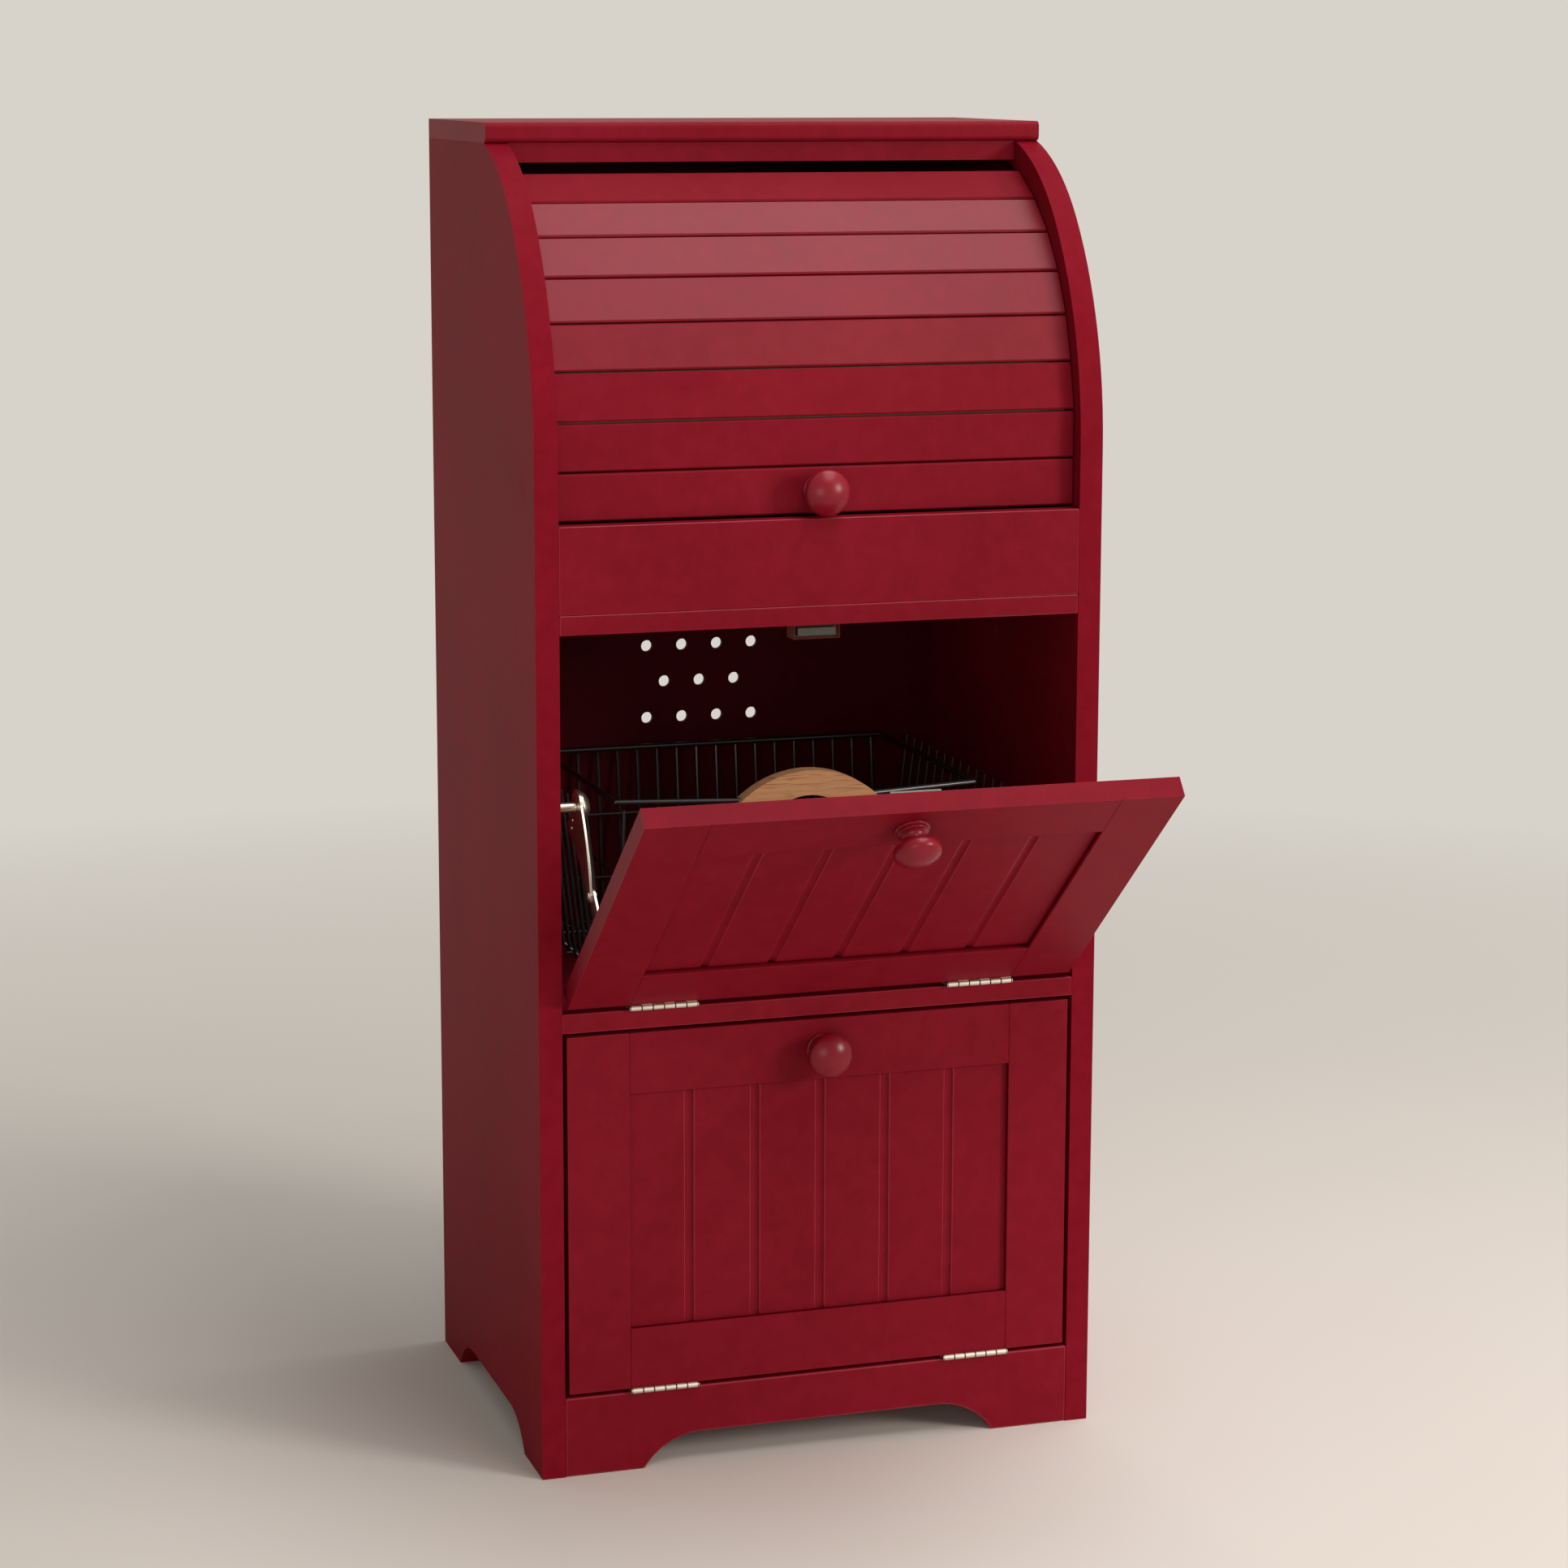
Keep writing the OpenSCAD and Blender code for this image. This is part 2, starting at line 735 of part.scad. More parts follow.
// ---- catches ----

module catch_housing(z) {
    difference() {
        union() {
            translate([-catch_w / 2, catch_y, z - catch_h]) cube([catch_w, catch_d, catch_h]);
            translate([-catch_flange_w / 2, catch_y, z - catch_flange_t])
                cube([catch_flange_w, catch_d, catch_flange_t]);
        }
        pole_plate(z, pole_fit);
        catch_screws(z);
    }
}

// The pole plate, or with some play the slot that it sits in
module pole_plate(z, play) {
    translate([0, catch_y + pole_d / 2, z - (catch_h + catch_flange_t) / 2])
        cube([pole_w, pole_d, pole_h] + 2 * play * [1, 1, 1], center = true);
}

module magnetic_catches() {
    placed() for (z = [bread_z, divider_z]) {
        color(brown) catch_housing(z);
        color(nickel) pole_plate(z, 0);
    }
}

// ---- hinges ----

// One leaf with its knuckles, on the hinge axis. up is 1 on the door and -1 on the cabinet.
module hinge_leaf(up) {
    first = up > 0 ? 1 : 0;
    z0 = up > 0 ? door_gap / 2 - leaf_t : -door_gap / 2;
    difference() {
        union() {
            translate([-hinge_l / 2, leaf_y, z0]) cube([hinge_l, leaf_w, leaf_t]);
            for (i = [first : 2 : knuckles - 1])
                translate([-hinge_l / 2 + i * knuckle_l + knuckle_gap / 2, 0, 0]) {
                    rotate([0, 90, 0]) cylinder(r = barrel_r, h = knuckle_l - knuckle_gap);
                    translate([0, 0, z0]) cube([knuckle_l - knuckle_gap, leaf_y + over, leaf_t]);
                }
        }
        rotate([0, 90, 0]) cylinder(r = hinge_pin_r + pin_play, h = 2 * hinge_l, center = true);
    }
}

module cabinet_leaves(z) {
    difference() {
        at_hinge_axis(z) for (side = [-1, 1]) translate([side * hinge_x, 0, 0]) hinge_leaf(-1);
        cabinet_leaf_screws(z);
    }
}

module door_leaves() {
    color(nickel) difference() {
        for (side = [-1, 1]) translate([side * hinge_x, 0, 0]) hinge_leaf(1);
        door_leaf_screws();
    }
}

module pins(hinge_z) {
    at_hinge_axis(hinge_z) for (side = [-1, 1]) translate([side * hinge_x, 0, 0]) rotate([0, 90, 0]) {
        cylinder(r = hinge_pin_r, h = hinge_l + 2 * pin_cap_t - knuckle_gap, center = true);
        for (z = [-hinge_l / 2 + knuckle_gap / 2 - pin_cap_t, hinge_l / 2 + knuckle_gap / 2])
            translate([0, 0, z]) cylinder(r = barrel_r, h = pin_cap_t);
    }
}

module hinge_cabinet_leaves() {
    color(nickel) placed() for (z = [upper_hinge_z, lower_hinge_z]) cabinet_leaves(z);
}

module hinge_pins() {
    color(nickel) placed() for (z = [upper_hinge_z, lower_hinge_z]) pins(z);
}

// ---- knobs ----

module knob_outline() {
    polygon([
        [0, 0], [knob_foot_r, 0], [knob_foot_r, knob_ring_h], [knob_foot_r - 1.5, knob_ring_h + 1],
        [knob_foot_r - 1.5, knob_ring_h + 3], [knob_neck_r + 1.2, knob_neck_h - 2.4],
        [knob_neck_r, knob_neck_h], [knob_neck_r + 0.6, knob_rim_h - knob_rim_r - 1], [knob_rim_c[0], knob_rim_h - knob_rim_r],
        knob_rim_c, [0, knob_dome_z + 1]
    ]);
    translate(knob_rim_c) circle(knob_rim_r);
    intersection() {
        translate([0, knob_dome_z]) circle(knob_dome_r);
        polygon([
            [0, knob_dome_z], [0, knob_dome_z] + 3 * (knob_rim_c - [0, knob_dome_z]), [0, 4 * knob_rim_h]
        ]);
    }
}

// A knob whose foot is at the origin and whose head looks forward
module knob() {
    color(red) difference() {
        rotate([90, 0, 0]) rotate_extrude() knob_outline();
        rotate([90, 0, 0]) translate([0, 0, -over])
            cylinder(r = knob_screw_r, h = knob_screw_in + over);
    }
}

module door_knob() translate([0, door_front, knob_z]) knob();

// ---- tambour ----

// Depth and height at radius r and angle a above level, about the tambour's pivot
function polar(r, a) = [arc_y - r * cos(a), arc_z + r * sin(a)];
function joint_a(k) = k < flat_slats
    ? atan2(slat_bottom + k * flat_pitch - arc_z, arc_y - slat_recess)
    : arc_start_angle + (k - flat_slats) * arc_step;
function face(k, a) = k < flat_slats ? polar((arc_y - slat_recess) / cos(a), a) : polar(slat_r, a);
function nearer(p, a) = p + slat_chamfer * [cos(a), -sin(a)];
function slat_from(k) = joint_a(k) + slat_gap_angle;
function slat_to(k) = joint_a(k + 1) - slat_gap_angle + (k == slats - 1 ? lip_a : 0);

// Slat k, counted from the bottom
module slat(k) {
    a0 = slat_from(k);
    a1 = slat_to(k);
    color(red) difference() {
        union() {
            along_x(slat_w) polygon([
                nearer(face(k, a0), a0), face(k, a0 + chamfer_a), face(k + 1, a1 - chamfer_a),
                nearer(face(k + 1, a1), a1), polar(back_r, a1), polar(back_r, a0)
            ]);
            along_x(slat_w + 2 * (tongue_l + slat_side_gap)) polygon([
                polar(tongue_r, a0), polar(tongue_r, a1), polar(back_r, a1), polar(back_r, a0)
            ]);
        }
        if (k == 0) at_tambour_knob() {
            rotate([90, 0, 0]) cylinder(r = knob_screw_r, h = 4 * slat_t, center = true);
            screw_pocket();
        }
    }
}

module at_tambour_knob() translate([0, slat_recess, slat_bottom + flat_pitch / 2]) children();

// The pocket behind the bottom slat in which its screw's head is sunk
module screw_pocket() {
    translate([0, slat_t, 0]) rotate([-90, 0, 0]) cylinder(r = 2 * knob_screw_r + 0.5, h = 4 * slat_t);
}

module tambour_canvas() {
    ends = [for (k = [0 : slats - 1]) each [slat_from(k), slat_to(k)]];
    outer = [for (a = ends) polar(back_r, a)];
    inner = [for (i = [len(ends) - 1 : -1 : 0]) polar(back_r - canvas_t, ends[i])];
    color(linen) placed() difference() {
        along_x(inner_w - 2 * canvas_margin) polygon(concat(outer, inner));
        at_tambour_knob() screw_pocket();
    }
}

module tambour_knob() placed() at_tambour_knob() knob();

module tambour_knob_screw() {
    color(nickel) placed() at_tambour_knob() translate([0, slat_t, 0]) knob_screw(slat_t);
}

// ---- doors ----

module frame_panel_slot() {
    translate([0, door_front + panel_recess + panel_t / 2, door_base + door_h / 2])
        cube([panel_w + 2 * frame_groove, panel_t, panel_h + 2 * frame_groove], center = true);
}

module door_stile(side) {
    color(red) difference() {
        translate([side * (door_w - stile_w) / 2, (door_front + door_back) / 2, door_base + door_h / 2])
            cube([stile_w, door_t, door_h], center = true);
        translate([0, door_front + panel_recess + panel_t / 2, door_base + door_h / 2])
            cube([panel_w + 2 * frame_groove, panel_t, door_h + over], center = true);
        door_screw_holes();
    }
}

module door_rail(up) {
    mid = door_base + door_h / 2 + up * (door_h - door_rail_w) / 2;
    color(red) difference() {
        union() {
            translate([0, (door_front + door_back) / 2, mid])
                cube([panel_w, door_t, door_rail_w], center = true);
            translate([0, door_front + panel_recess + panel_t / 2, mid])
                cube([panel_w + 2 * frame_groove, panel_t, door_rail_w], center = true);
        }
        frame_panel_slot();
        door_screw_holes();
    }
}

module door_screw_holes() {
    door_leaf_screws();
    stay_door_screws();
    door_knob_screw();
}

module beaded_panel() {
    color(red) difference() {
        translate([0, door_front + panel_recess + panel_t / 2, door_base + door_h / 2])
            cube([panel_w + 2 * panel_tongue, panel_t, panel_h + 2 * panel_tongue], center = true);
        translate([0, door_front + panel_recess + bead_depth - bead_r, door_base + door_h / 2])
            for (i = [0 : beads - 1]) translate([(i - (beads - 1) / 2) * bead_pitch, 0, 0])
                cylinder(r = bead_r, h = door_h, center = true);
    }
}

module strike_plate() {
    color(nickel) difference() {
        translate([-strike_w / 2, door_back, strike_z]) cube([strike_w, strike_t, strike_h]);
        door_knob_screw();
    }
}

module stay_bracket() {
    color(nickel) {
        difference() {
            union() {
                translate([flange_x, door_back, pin_h - bracket_h / 2])
                    cube([bracket_w, flange_t, bracket_h]);
                translate([flange_x, door_back, pin_h - eye_r])
                    cube([flange_t, pin_in - door_back, 2 * eye_r]);
                translate([flange_x, pin_in, pin_h]) rotate([0, 90, 0]) cylinder(r = eye_r, h = flange_t);
            }
            stay_door_screws();
        }
        translate([link_x - stay_gap / 2, pin_in, pin_h]) rotate([0, 90, 0])
            cylinder(r = door_pin_r, h = flange_x + flange_t - link_x + stay_gap / 2);
    }
}

// ---- stays ----

// The arm's front edge bulges forwards, and its back edge draws in from a broad head to the knee
function front_edge(u) = [
    -(head_r - 1) - (link_half_w - head_r + 1) * u - 4 * arm_bow * u * (1 - u),
    -arm_l * u
];
function back_edge(u) = [
    link_half_w + (arm_back - 0.1 - link_half_w) * (1 - u) ^ 1.6,
    -arm_corner_r - (arm_l - arm_corner_r) * u
];

module arm_outline() {
    steps = 12;
    front = [for (i = [0 : steps]) front_edge(i / steps)];
    back = [for (i = [steps : -1 : 0]) back_edge(i / steps)];
    polygon(concat(front, back, [[arm_back - arm_corner_r, -0.1], [0, -0.1]]));
    circle(head_r);
    translate([arm_back - arm_corner_r, -arm_corner_r]) circle(arm_corner_r);
    translate([0, -arm_l]) circle(link_half_w);
}

module dome() {
    base = head_r - dome_margin;
    rise = dome_h - dome_rim;
    dome_r = (base * base + rise * rise) / (2 * rise);
    rotate([0, 90, 0]) rotate_extrude() {
        square([base, dome_rim]);
        intersection() {
            translate([0, dome_h - dome_r]) circle(dome_r);
            square([base, dome_h]);
        }
    }
}

// The arm with its domed cap, at the hub, for the door's angle t
module stay_arm(t) {
    color(nickel) translate([arm_x, hub[0], hub[1]]) rotate([arm_angle(t) + 90, 0, 0]) difference() {
        union() {
            rotate([90, 0, 90]) linear_extrude(height = stay_t) arm_outline();
            translate([stay_t, 0, 0]) dome();
            translate([-rivet_head_h, 0, -arm_l]) rotate([0, 90, 0])
                cylinder(r = rivet_head_r, h = rivet_head_h);
            for (p = arm_rivets) translate([-rivet_head_h / 2, p[0], p[1]]) rotate([0, 90, 0])
                cylinder(r = arm_rivet_r, h = rivet_head_h);
        }
        translate([-over, 0, 0]) rotate([0, 90, 0])
            cylinder(r = hub_pin_r + stay_play, h = stay_t + dome_h / 2 + over);
    }
}

// The link, at the door's pin, for the door's angle t
module stay_link(t) {
    p = door_pin(t);
    color(nickel) translate([link_x, p[0], p[1]]) rotate([link_angle(t), 0, 0]) difference() {
        union() {
            rotate([90, 0, 90]) linear_extrude(height = stay_t) {
                translate([0, -link_half_w]) square([link_l, 2 * link_half_w]);
                for (y = [0, link_l]) translate([y, 0]) circle(link_half_w);
            }
            translate([stay_t, link_l, 0]) rotate([0, 90, 0]) cylinder(r = rivet_head_r, h = rivet_head_h);
        }
        rotate([0, 90, 0]) cylinder(r = door_pin_r + stay_play, h = 4 * stay_t, center = true);
    }
}

module side_bracket(z) {
    wall_x = -inner_w / 2;
    translate([wall_x, hub_y, z + hub_h]) difference() {
        union() {
            translate([0, -side_plate_w / 2, -side_plate_h / 2])
                cube([side_plate_t, side_plate_w, side_plate_h]);
            rotate([0, 90, 0]) cylinder(r = hub_post_r, h = arm_out - stay_gap);
            rotate([0, 90, 0]) cylinder(r = hub_pin_r, h = arm_out + stay_t + dome_h / 2 - stay_gap);
        }
        translate([-wall_x, -hub_y, -z - hub_h]) stay_side_screws(z);
    }
}

module stay_side_brackets() {
    color(nickel) placed() for (z = [upper_hinge_z, lower_hinge_z]) side_bracket(z);
}

// ---- baskets ----

module in_basket(shelf_top) placed() translate([0, basket_mid, shelf_top]) children();

module rim(shelf_top) {
    color(black) in_basket(shelf_top) translate([0, 0, basket_h]) {
        for (side = [-1, 1]) {
            translate([side * rim_x, 0, 0]) rotate([90, 0, 0])
                cylinder(r = rim_r, h = 2 * wall_short, center = true);
            translate([side * (wall_long + wire_end) / 2, -rim_y, 0]) rotate([0, 90, 0])
                cylinder(r = rim_r, h = wall_long - wire_end, center = true);
            for (end = [-1, 1])
                translate([side * wall_long, end * wall_short, 0])
                    rotate([0, 0, side > 0 ? (end > 0 ? 0 : -90) : (end > 0 ? 90 : 180)])
                        rotate_extrude(angle = 90) translate([basket_corner_r, 0]) circle(rim_r);
        }
        translate([0, rim_y, 0]) rotate([0, 90, 0]) cylinder(r = rim_r, h = 2 * wall_long, center = true);
    }
}

// A flat wall of wires that hangs from the origin; short_half bounds the uprights under the handle
module wire_wall(half, wires, short_half) {
    pitch = 2 * half / (wires - 1);
    for (i = [0 : wires - 1]) {
        x = -half + i * pitch;
        top = abs(x) < short_half ? rings[0] * wall_l : rim_r - touch;
        translate([x, 0, -wall_l]) cylinder(r = wire_r, h = wall_l - top);
    }
    for (k = rings) translate([0, 0, -k * wall_l]) rotate([0, 90, 0])
        cylinder(r = wire_r, h = 2 * half + 4 * wire_r, center = true);
}

module walls(shelf_top) {
    color(black) in_basket(shelf_top) translate([0, 0, basket_h]) {
        translate([0, -rim_y, 0]) rotate([basket_slope, 0, 0])
            wire_wall(wall_long, long_wires, handle_w / 2 + 2);
        translate([0, rim_y, 0]) rotate([-basket_slope, 0, 0]) wire_wall(wall_long, long_wires, 0);
        for (side = [-1, 1])
            translate([side * rim_x, 0, 0]) rotate([0, side * basket_slope, 0]) rotate([0, 0, 90])
                wire_wall(wall_short, short_wires, 0);
    }
}

module floor_wires(shelf_top) {
    half_x = rim_x - floor_in;
    half_y = rim_y - floor_in;
    pitch = 2 * wall_long / (long_wires - 1);
    color(black) in_basket(shelf_top) translate([0, 0, floor_h]) {
        for (i = [0 : long_wires - 1])
            translate([-wall_long + i * pitch, 0, 0]) rotate([90, 0, 0])
                cylinder(r = wire_r, h = 2 * (half_y - wire_r + touch), center = true);
        for (y = [-0.55, 0, 0.55])
            translate([0, y * half_y, 2 * wire_r - weld]) rotate([0, 90, 0])
                cylinder(r = wire_r, h = 2 * (half_x - wire_r + touch), center = true);
    }
}

module handle_outline() {
    difference() {
        intersection() {
            translate([-handle_w / 2, -handle_down]) square([handle_w, handle_down + handle_up]);
            translate([0, handle_up - handle_arc_r]) circle(handle_arc_r);
        }
        intersection() {
            translate([0, slot_top - slot_r]) circle(slot_r);
            translate([-slot_r, slot_bottom]) square([2 * slot_r, slot_top - slot_bottom]);
        }
    }
}

module handle(shelf_top) {
    color(oak) in_basket(shelf_top) translate([0, -rim_y, basket_h]) difference() {
        rotate([90, 0, 0]) linear_extrude(height = handle_t, center = true) handle_outline();
        for (side = [-1, 1])
            translate([side * wire_end, 0, 0]) rotate([0, side * 90, 0]) cylinder(r = rim_r, h = handle_w);
    }
}

// ---- the nodes ----

left_side_panel();
right_side_panel();
top_board();
top_rail();
back_panel();
bread_shelf();
front_fascia();
divider_shelf();
bottom_shelf();
apron();
shelf_dowels();
cover_caps();
magnetic_catches();
cabinet_screws();
hinge_cabinet_leaves();
hinge_pins();
stay_side_brackets();

placed() slat(7);  // tambour_slat_1
placed() slat(6);  // tambour_slat_2
placed() slat(5);  // tambour_slat_3
placed() slat(4);  // tambour_slat_4
placed() slat(3);  // tambour_slat_5
placed() slat(2);  // tambour_slat_6
placed() slat(1);  // tambour_slat_7
placed() slat(0);  // tambour_slat_8
tambour_canvas();
tambour_knob();
tambour_knob_screw();

on_upper_door() door_stile(-1);  // upper_door_left_stile
on_upper_door() door_stile(1);  // upper_door_right_stile
on_upper_door() door_rail(1);  // upper_door_top_rail
on_upper_door() door_rail(-1);  // upper_door_bottom_rail
on_upper_door() beaded_panel();  // upper_door_beaded_panel
on_upper_door() door_knob();  // upper_door_knob
on_upper_door() door_screws();  // upper_door_screws
on_upper_door() strike_plate();  // upper_door_strike_plate
on_upper_door() door_leaves();  // upper_door_hinge_leaves
on_upper_door() stay_bracket();  // upper_door_stay_bracket

on_lower_door() door_stile(-1);  // lower_door_left_stile
on_lower_door() door_stile(1);  // lower_door_right_stile
on_lower_door() door_rail(1);  // lower_door_top_rail
on_lower_door() door_rail(-1);  // lower_door_bottom_rail
on_lower_door() beaded_panel();  // lower_door_beaded_panel
on_lower_door() door_knob();  // lower_door_knob
on_lower_door() door_screws();  // lower_door_screws
on_lower_door() strike_plate();  // lower_door_strike_plate
on_lower_door() door_leaves();  // lower_door_hinge_leaves
on_lower_door() stay_bracket();  // lower_door_stay_bracket

placed() at_hinge_axis(upper_hinge_z) stay_arm(door_open);  // upper_stay_arm
placed() at_hinge_axis(upper_hinge_z) stay_link(door_open);  // upper_stay_link
placed() at_hinge_axis(lower_hinge_z) stay_arm(0);  // lower_stay_arm
placed() at_hinge_axis(lower_hinge_z) stay_link(0);  // lower_stay_link

rim(upper_z);  // upper_basket_rim
walls(upper_z);  // upper_basket_walls
floor_wires(upper_z);  // upper_basket_floor
handle(upper_z);  // upper_basket_handle
rim(apron_h);  // lower_basket_rim
walls(apron_h);  // lower_basket_walls
floor_wires(apron_h);  // lower_basket_floor
handle(apron_h);  // lower_basket_handle
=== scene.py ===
import json
from math import atan2, cos, pi, radians, sin, sqrt

import bmesh
import bpy
from mathutils import Matrix, Vector


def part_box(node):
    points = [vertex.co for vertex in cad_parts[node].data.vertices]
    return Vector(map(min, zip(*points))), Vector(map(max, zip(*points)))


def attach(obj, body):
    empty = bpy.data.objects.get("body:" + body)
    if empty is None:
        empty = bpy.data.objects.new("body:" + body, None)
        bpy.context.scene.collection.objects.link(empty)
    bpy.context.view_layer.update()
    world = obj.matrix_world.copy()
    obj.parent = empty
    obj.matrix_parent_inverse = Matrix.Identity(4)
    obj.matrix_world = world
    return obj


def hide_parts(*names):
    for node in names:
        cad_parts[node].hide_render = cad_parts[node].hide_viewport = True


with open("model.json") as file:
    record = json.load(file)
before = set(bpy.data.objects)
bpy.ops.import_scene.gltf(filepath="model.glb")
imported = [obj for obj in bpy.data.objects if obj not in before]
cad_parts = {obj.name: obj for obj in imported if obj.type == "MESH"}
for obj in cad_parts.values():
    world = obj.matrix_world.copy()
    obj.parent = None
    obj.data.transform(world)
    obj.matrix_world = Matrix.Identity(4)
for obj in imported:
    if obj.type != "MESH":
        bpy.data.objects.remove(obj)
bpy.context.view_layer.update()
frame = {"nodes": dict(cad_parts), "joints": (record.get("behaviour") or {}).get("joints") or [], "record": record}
mm = 0.001
record = frame["record"]
joints = {joint["name"]: joint for joint in frame["joints"]}
bodyOf = {node: body for body, nodes in record["behaviour"]["bodies"].items() for node in nodes}
slotOf = {part["node"]: part["material_slot"] for part in record["subparts"]}
doors = ("upper", "lower")


def tone(red, green, blue):
    # a colour as it looks on a screen, 0 to 255, made linear
    steps = [value / 255 for value in (red, green, blue)]
    return tuple(v / 12.92 if v < 0.04045 else ((v + 0.055) / 1.055) ** 2.4 for v in steps) + (1,)


colours = {  # as they look on a screen, 0 to 255: the two ends of each finish, then what marks it
    "nickel": ((205, 197, 182), (228, 220, 205)),
    "zinc": ((150, 148, 142), (190, 188, 182)),
    "poleSteel": ((66, 68, 62), (104, 106, 98)),
    "blackCoat": ((16, 16, 17), (27, 26, 27)),
    "oak": ((190, 138, 92), (208, 158, 112)),
    "oakRing": (170, 116, 74),
    "oakPore": (120, 74, 44),
    "beech": ((206, 172, 132), (168, 126, 88)),
    "plastic": ((128, 66, 56), (150, 84, 72)),
    # the painted shade between hinge knuckles
    "seamShade": ((34, 22, 20), (58, 40, 34)),
    "canvas": ((170, 152, 122), (196, 180, 150)),
    "canvasShade": (140, 122, 94),
}


class Link:
    # a shader socket that can be added, multiplied and so on
    def __init__(self, finish, socket):
        self.finish = finish
        self.socket = socket

    def join(self, operation, first, second):
        return self.finish.node("ShaderNodeMath", {"operation": operation}, {0: first, 1: second})

    def __add__(self, other):
        return self.join("ADD", self, other)

    def __sub__(self, other):
        return self.join("SUBTRACT", self, other)

    def __rsub__(self, other):
        return self.join("SUBTRACT", other, self)

    def __mul__(self, other):
        return self.join("MULTIPLY", self, other)

    __radd__ = __add__
    __rmul__ = __mul__


class Finish:
    # one material: a principled shader and the nodes that feed it
    def __init__(self, name, **constants):
        self.material = bpy.data.materials.new(name)
        self.material.use_nodes = True
        self.tree = self.material.node_tree
        self.tree.nodes.clear()
        self.shader = self.tree.nodes.new("ShaderNodeBsdfPrincipled")
        output = self.tree.nodes.new("ShaderNodeOutputMaterial")
        self.tree.links.new(self.shader.outputs[0], output.inputs[0])
        self.put(**constants)

    def node(self, kind, settings, inputs, output=0):
        made = self.tree.nodes.new(kind)
        for key, value in settings.items():
            setattr(made, key, value)
        for key, value in inputs.items():
            if isinstance(value, Link):
                self.tree.links.new(value.socket, made.inputs[key])
            else:
                made.inputs[key].default_value = value
        return Link(self, made.outputs[output])

    def place(self, stretch=(1, 1, 1)):
        coords = self.node("ShaderNodeTexCoord", {}, {}, "Object")
        return self.node("ShaderNodeMapping", {}, {"Vector": coords, "Scale": stretch})

    def noise(self, scale, detail=2, stretch=(1, 1, 1), roughness=0.5):
        return self.node("ShaderNodeTexNoise", {}, {
            "Vector": self.place(stretch), "Scale": scale, "Detail": detail, "Roughness": roughness,
        })

    def wave(self, scale, stretch, distortion, bands):
        return self.node("ShaderNodeTexWave", {"bands_direction": bands}, {
            "Vector": self.place(stretch), "Scale": scale, "Distortion": distortion,
            "Detail": 3, "Detail Scale": 1.5,
        })

    def spread(self, value, low, high):
        # low becomes 0 and high becomes 1
        return self.node("ShaderNodeMapRange", {}, {"Value": value, "From Min": low, "From Max": high})

    def blend(self, factor, first, second):
        return self.node("ShaderNodeMix", {"data_type": "RGBA"}, {0: factor, 6: first, 7: second}, 2)

    def shades(self, factor, name):
        # runs between the two ends of a finish
        first, second = (tone(*colour) for colour in colours[name])
        return self.blend(factor, first, second)

    def bump(self, height, strength, depth):
        return self.node("ShaderNodeBump", {}, {"Height": height, "Strength": strength, "Distance": depth})

    def put(self, **values):
        for key, value in values.items():
            socket = self.shader.inputs[key.replace("_", " ")]
            if isinstance(value, Link):
                self.tree.links.new(value.socket, socket)
            else:
                socket.default_value = value


red = {  # sizes are noise scales, shares are parts of one
    "dark": (119, 14, 28), "light": (134, 21, 37), "worn": (140, 34, 48), "wornShare": 0.2,
    "driftSize": 5, "mottleSize": 70, "peelSize": 900, "wornSize": 26, "driftShare": 0.55, "peelShare": 0.7,
    "peelDepth": 0.25 * mm,
}


def redPaint(name, gloss, roughness, depth):
    # brushed paint that drifts in tone, with orange peel and faint worn patches
    finish = Finish(name, Specular_IOR_Level=gloss)
    drift = finish.noise(red["driftSize"], 2)
    mottle = finish.noise(red["mottleSize"], 4, roughness=0.6)
    peel = finish.noise(red["peelSize"], 2)
    worn = finish.spread(finish.noise(red["wornSize"], 5, roughness=0.7), 0.60, 0.74)
    shade = finish.spread(drift * red["driftShare"] + mottle * (1 - red["driftShare"]), 0.35, 0.65)
    relief = peel * red["peelShare"] + mottle * (1 - red["peelShare"])
    dark, light, bare = (tone(*(value * depth for value in red[key])) for key in ("dark", "light", "worn"))
    finish.put(
        Base_Color=finish.blend(worn * red["wornShare"], finish.blend(shade, dark, light), bare),
        Roughness=roughness + mottle * 0.08 + worn * 0.05,
        Normal=finish.bump(relief, 0.12, red["peelDepth"]),
    )
    return finish.material


def nickelPlate(name, roughness):
    # plated steel with faint brushing along the piece
    finish = Finish(name, Metallic=1.0)
    brushed = finish.noise(900, 3, stretch=(0.08, 1, 1))
    cloud = finish.noise(120, 3)
    finish.put(
        Base_Color=finish.shades(cloud, "nickel"),
        Roughness=roughness + brushed * 0.10 + cloud * 0.06,
        Normal=finish.bump(brushed, 0.08, 0.0001),
    )
    return finish.material


def zincScrews():
    finish = Finish("zincScrews", Metallic=1.0)
    spots = finish.noise(600, 3)
    finish.put(
        Base_Color=finish.shades(spots, "zinc"),
        Roughness=0.30 + spots * 0.12,
    )
    return finish.material


def poleSteel():
    # the dull plates of the catches
    finish = Finish("poleSteel", Metallic=1.0)
    grain = finish.noise(1500, 4, stretch=(1, 1, 0.2))
    finish.put(
        Base_Color=finish.shades(grain, "poleSteel"),
        Roughness=0.38 + grain * 0.14,
        Normal=finish.bump(grain, 0.10, 0.0001),
    )
    return finish.material


def blackCoat():
    # dipped wire, glossy where the coat has run
    finish = Finish("blackCoat", Coat_Weight=0.35, Coat_Roughness=0.16)
    drops = finish.noise(260, 3)
    finish.put(
        Base_Color=finish.shades(drops, "blackCoat"),
        Roughness=0.30 + drops * 0.12,
        Normal=finish.bump(drops, 0.10, 0.0002),
    )
    return finish.material


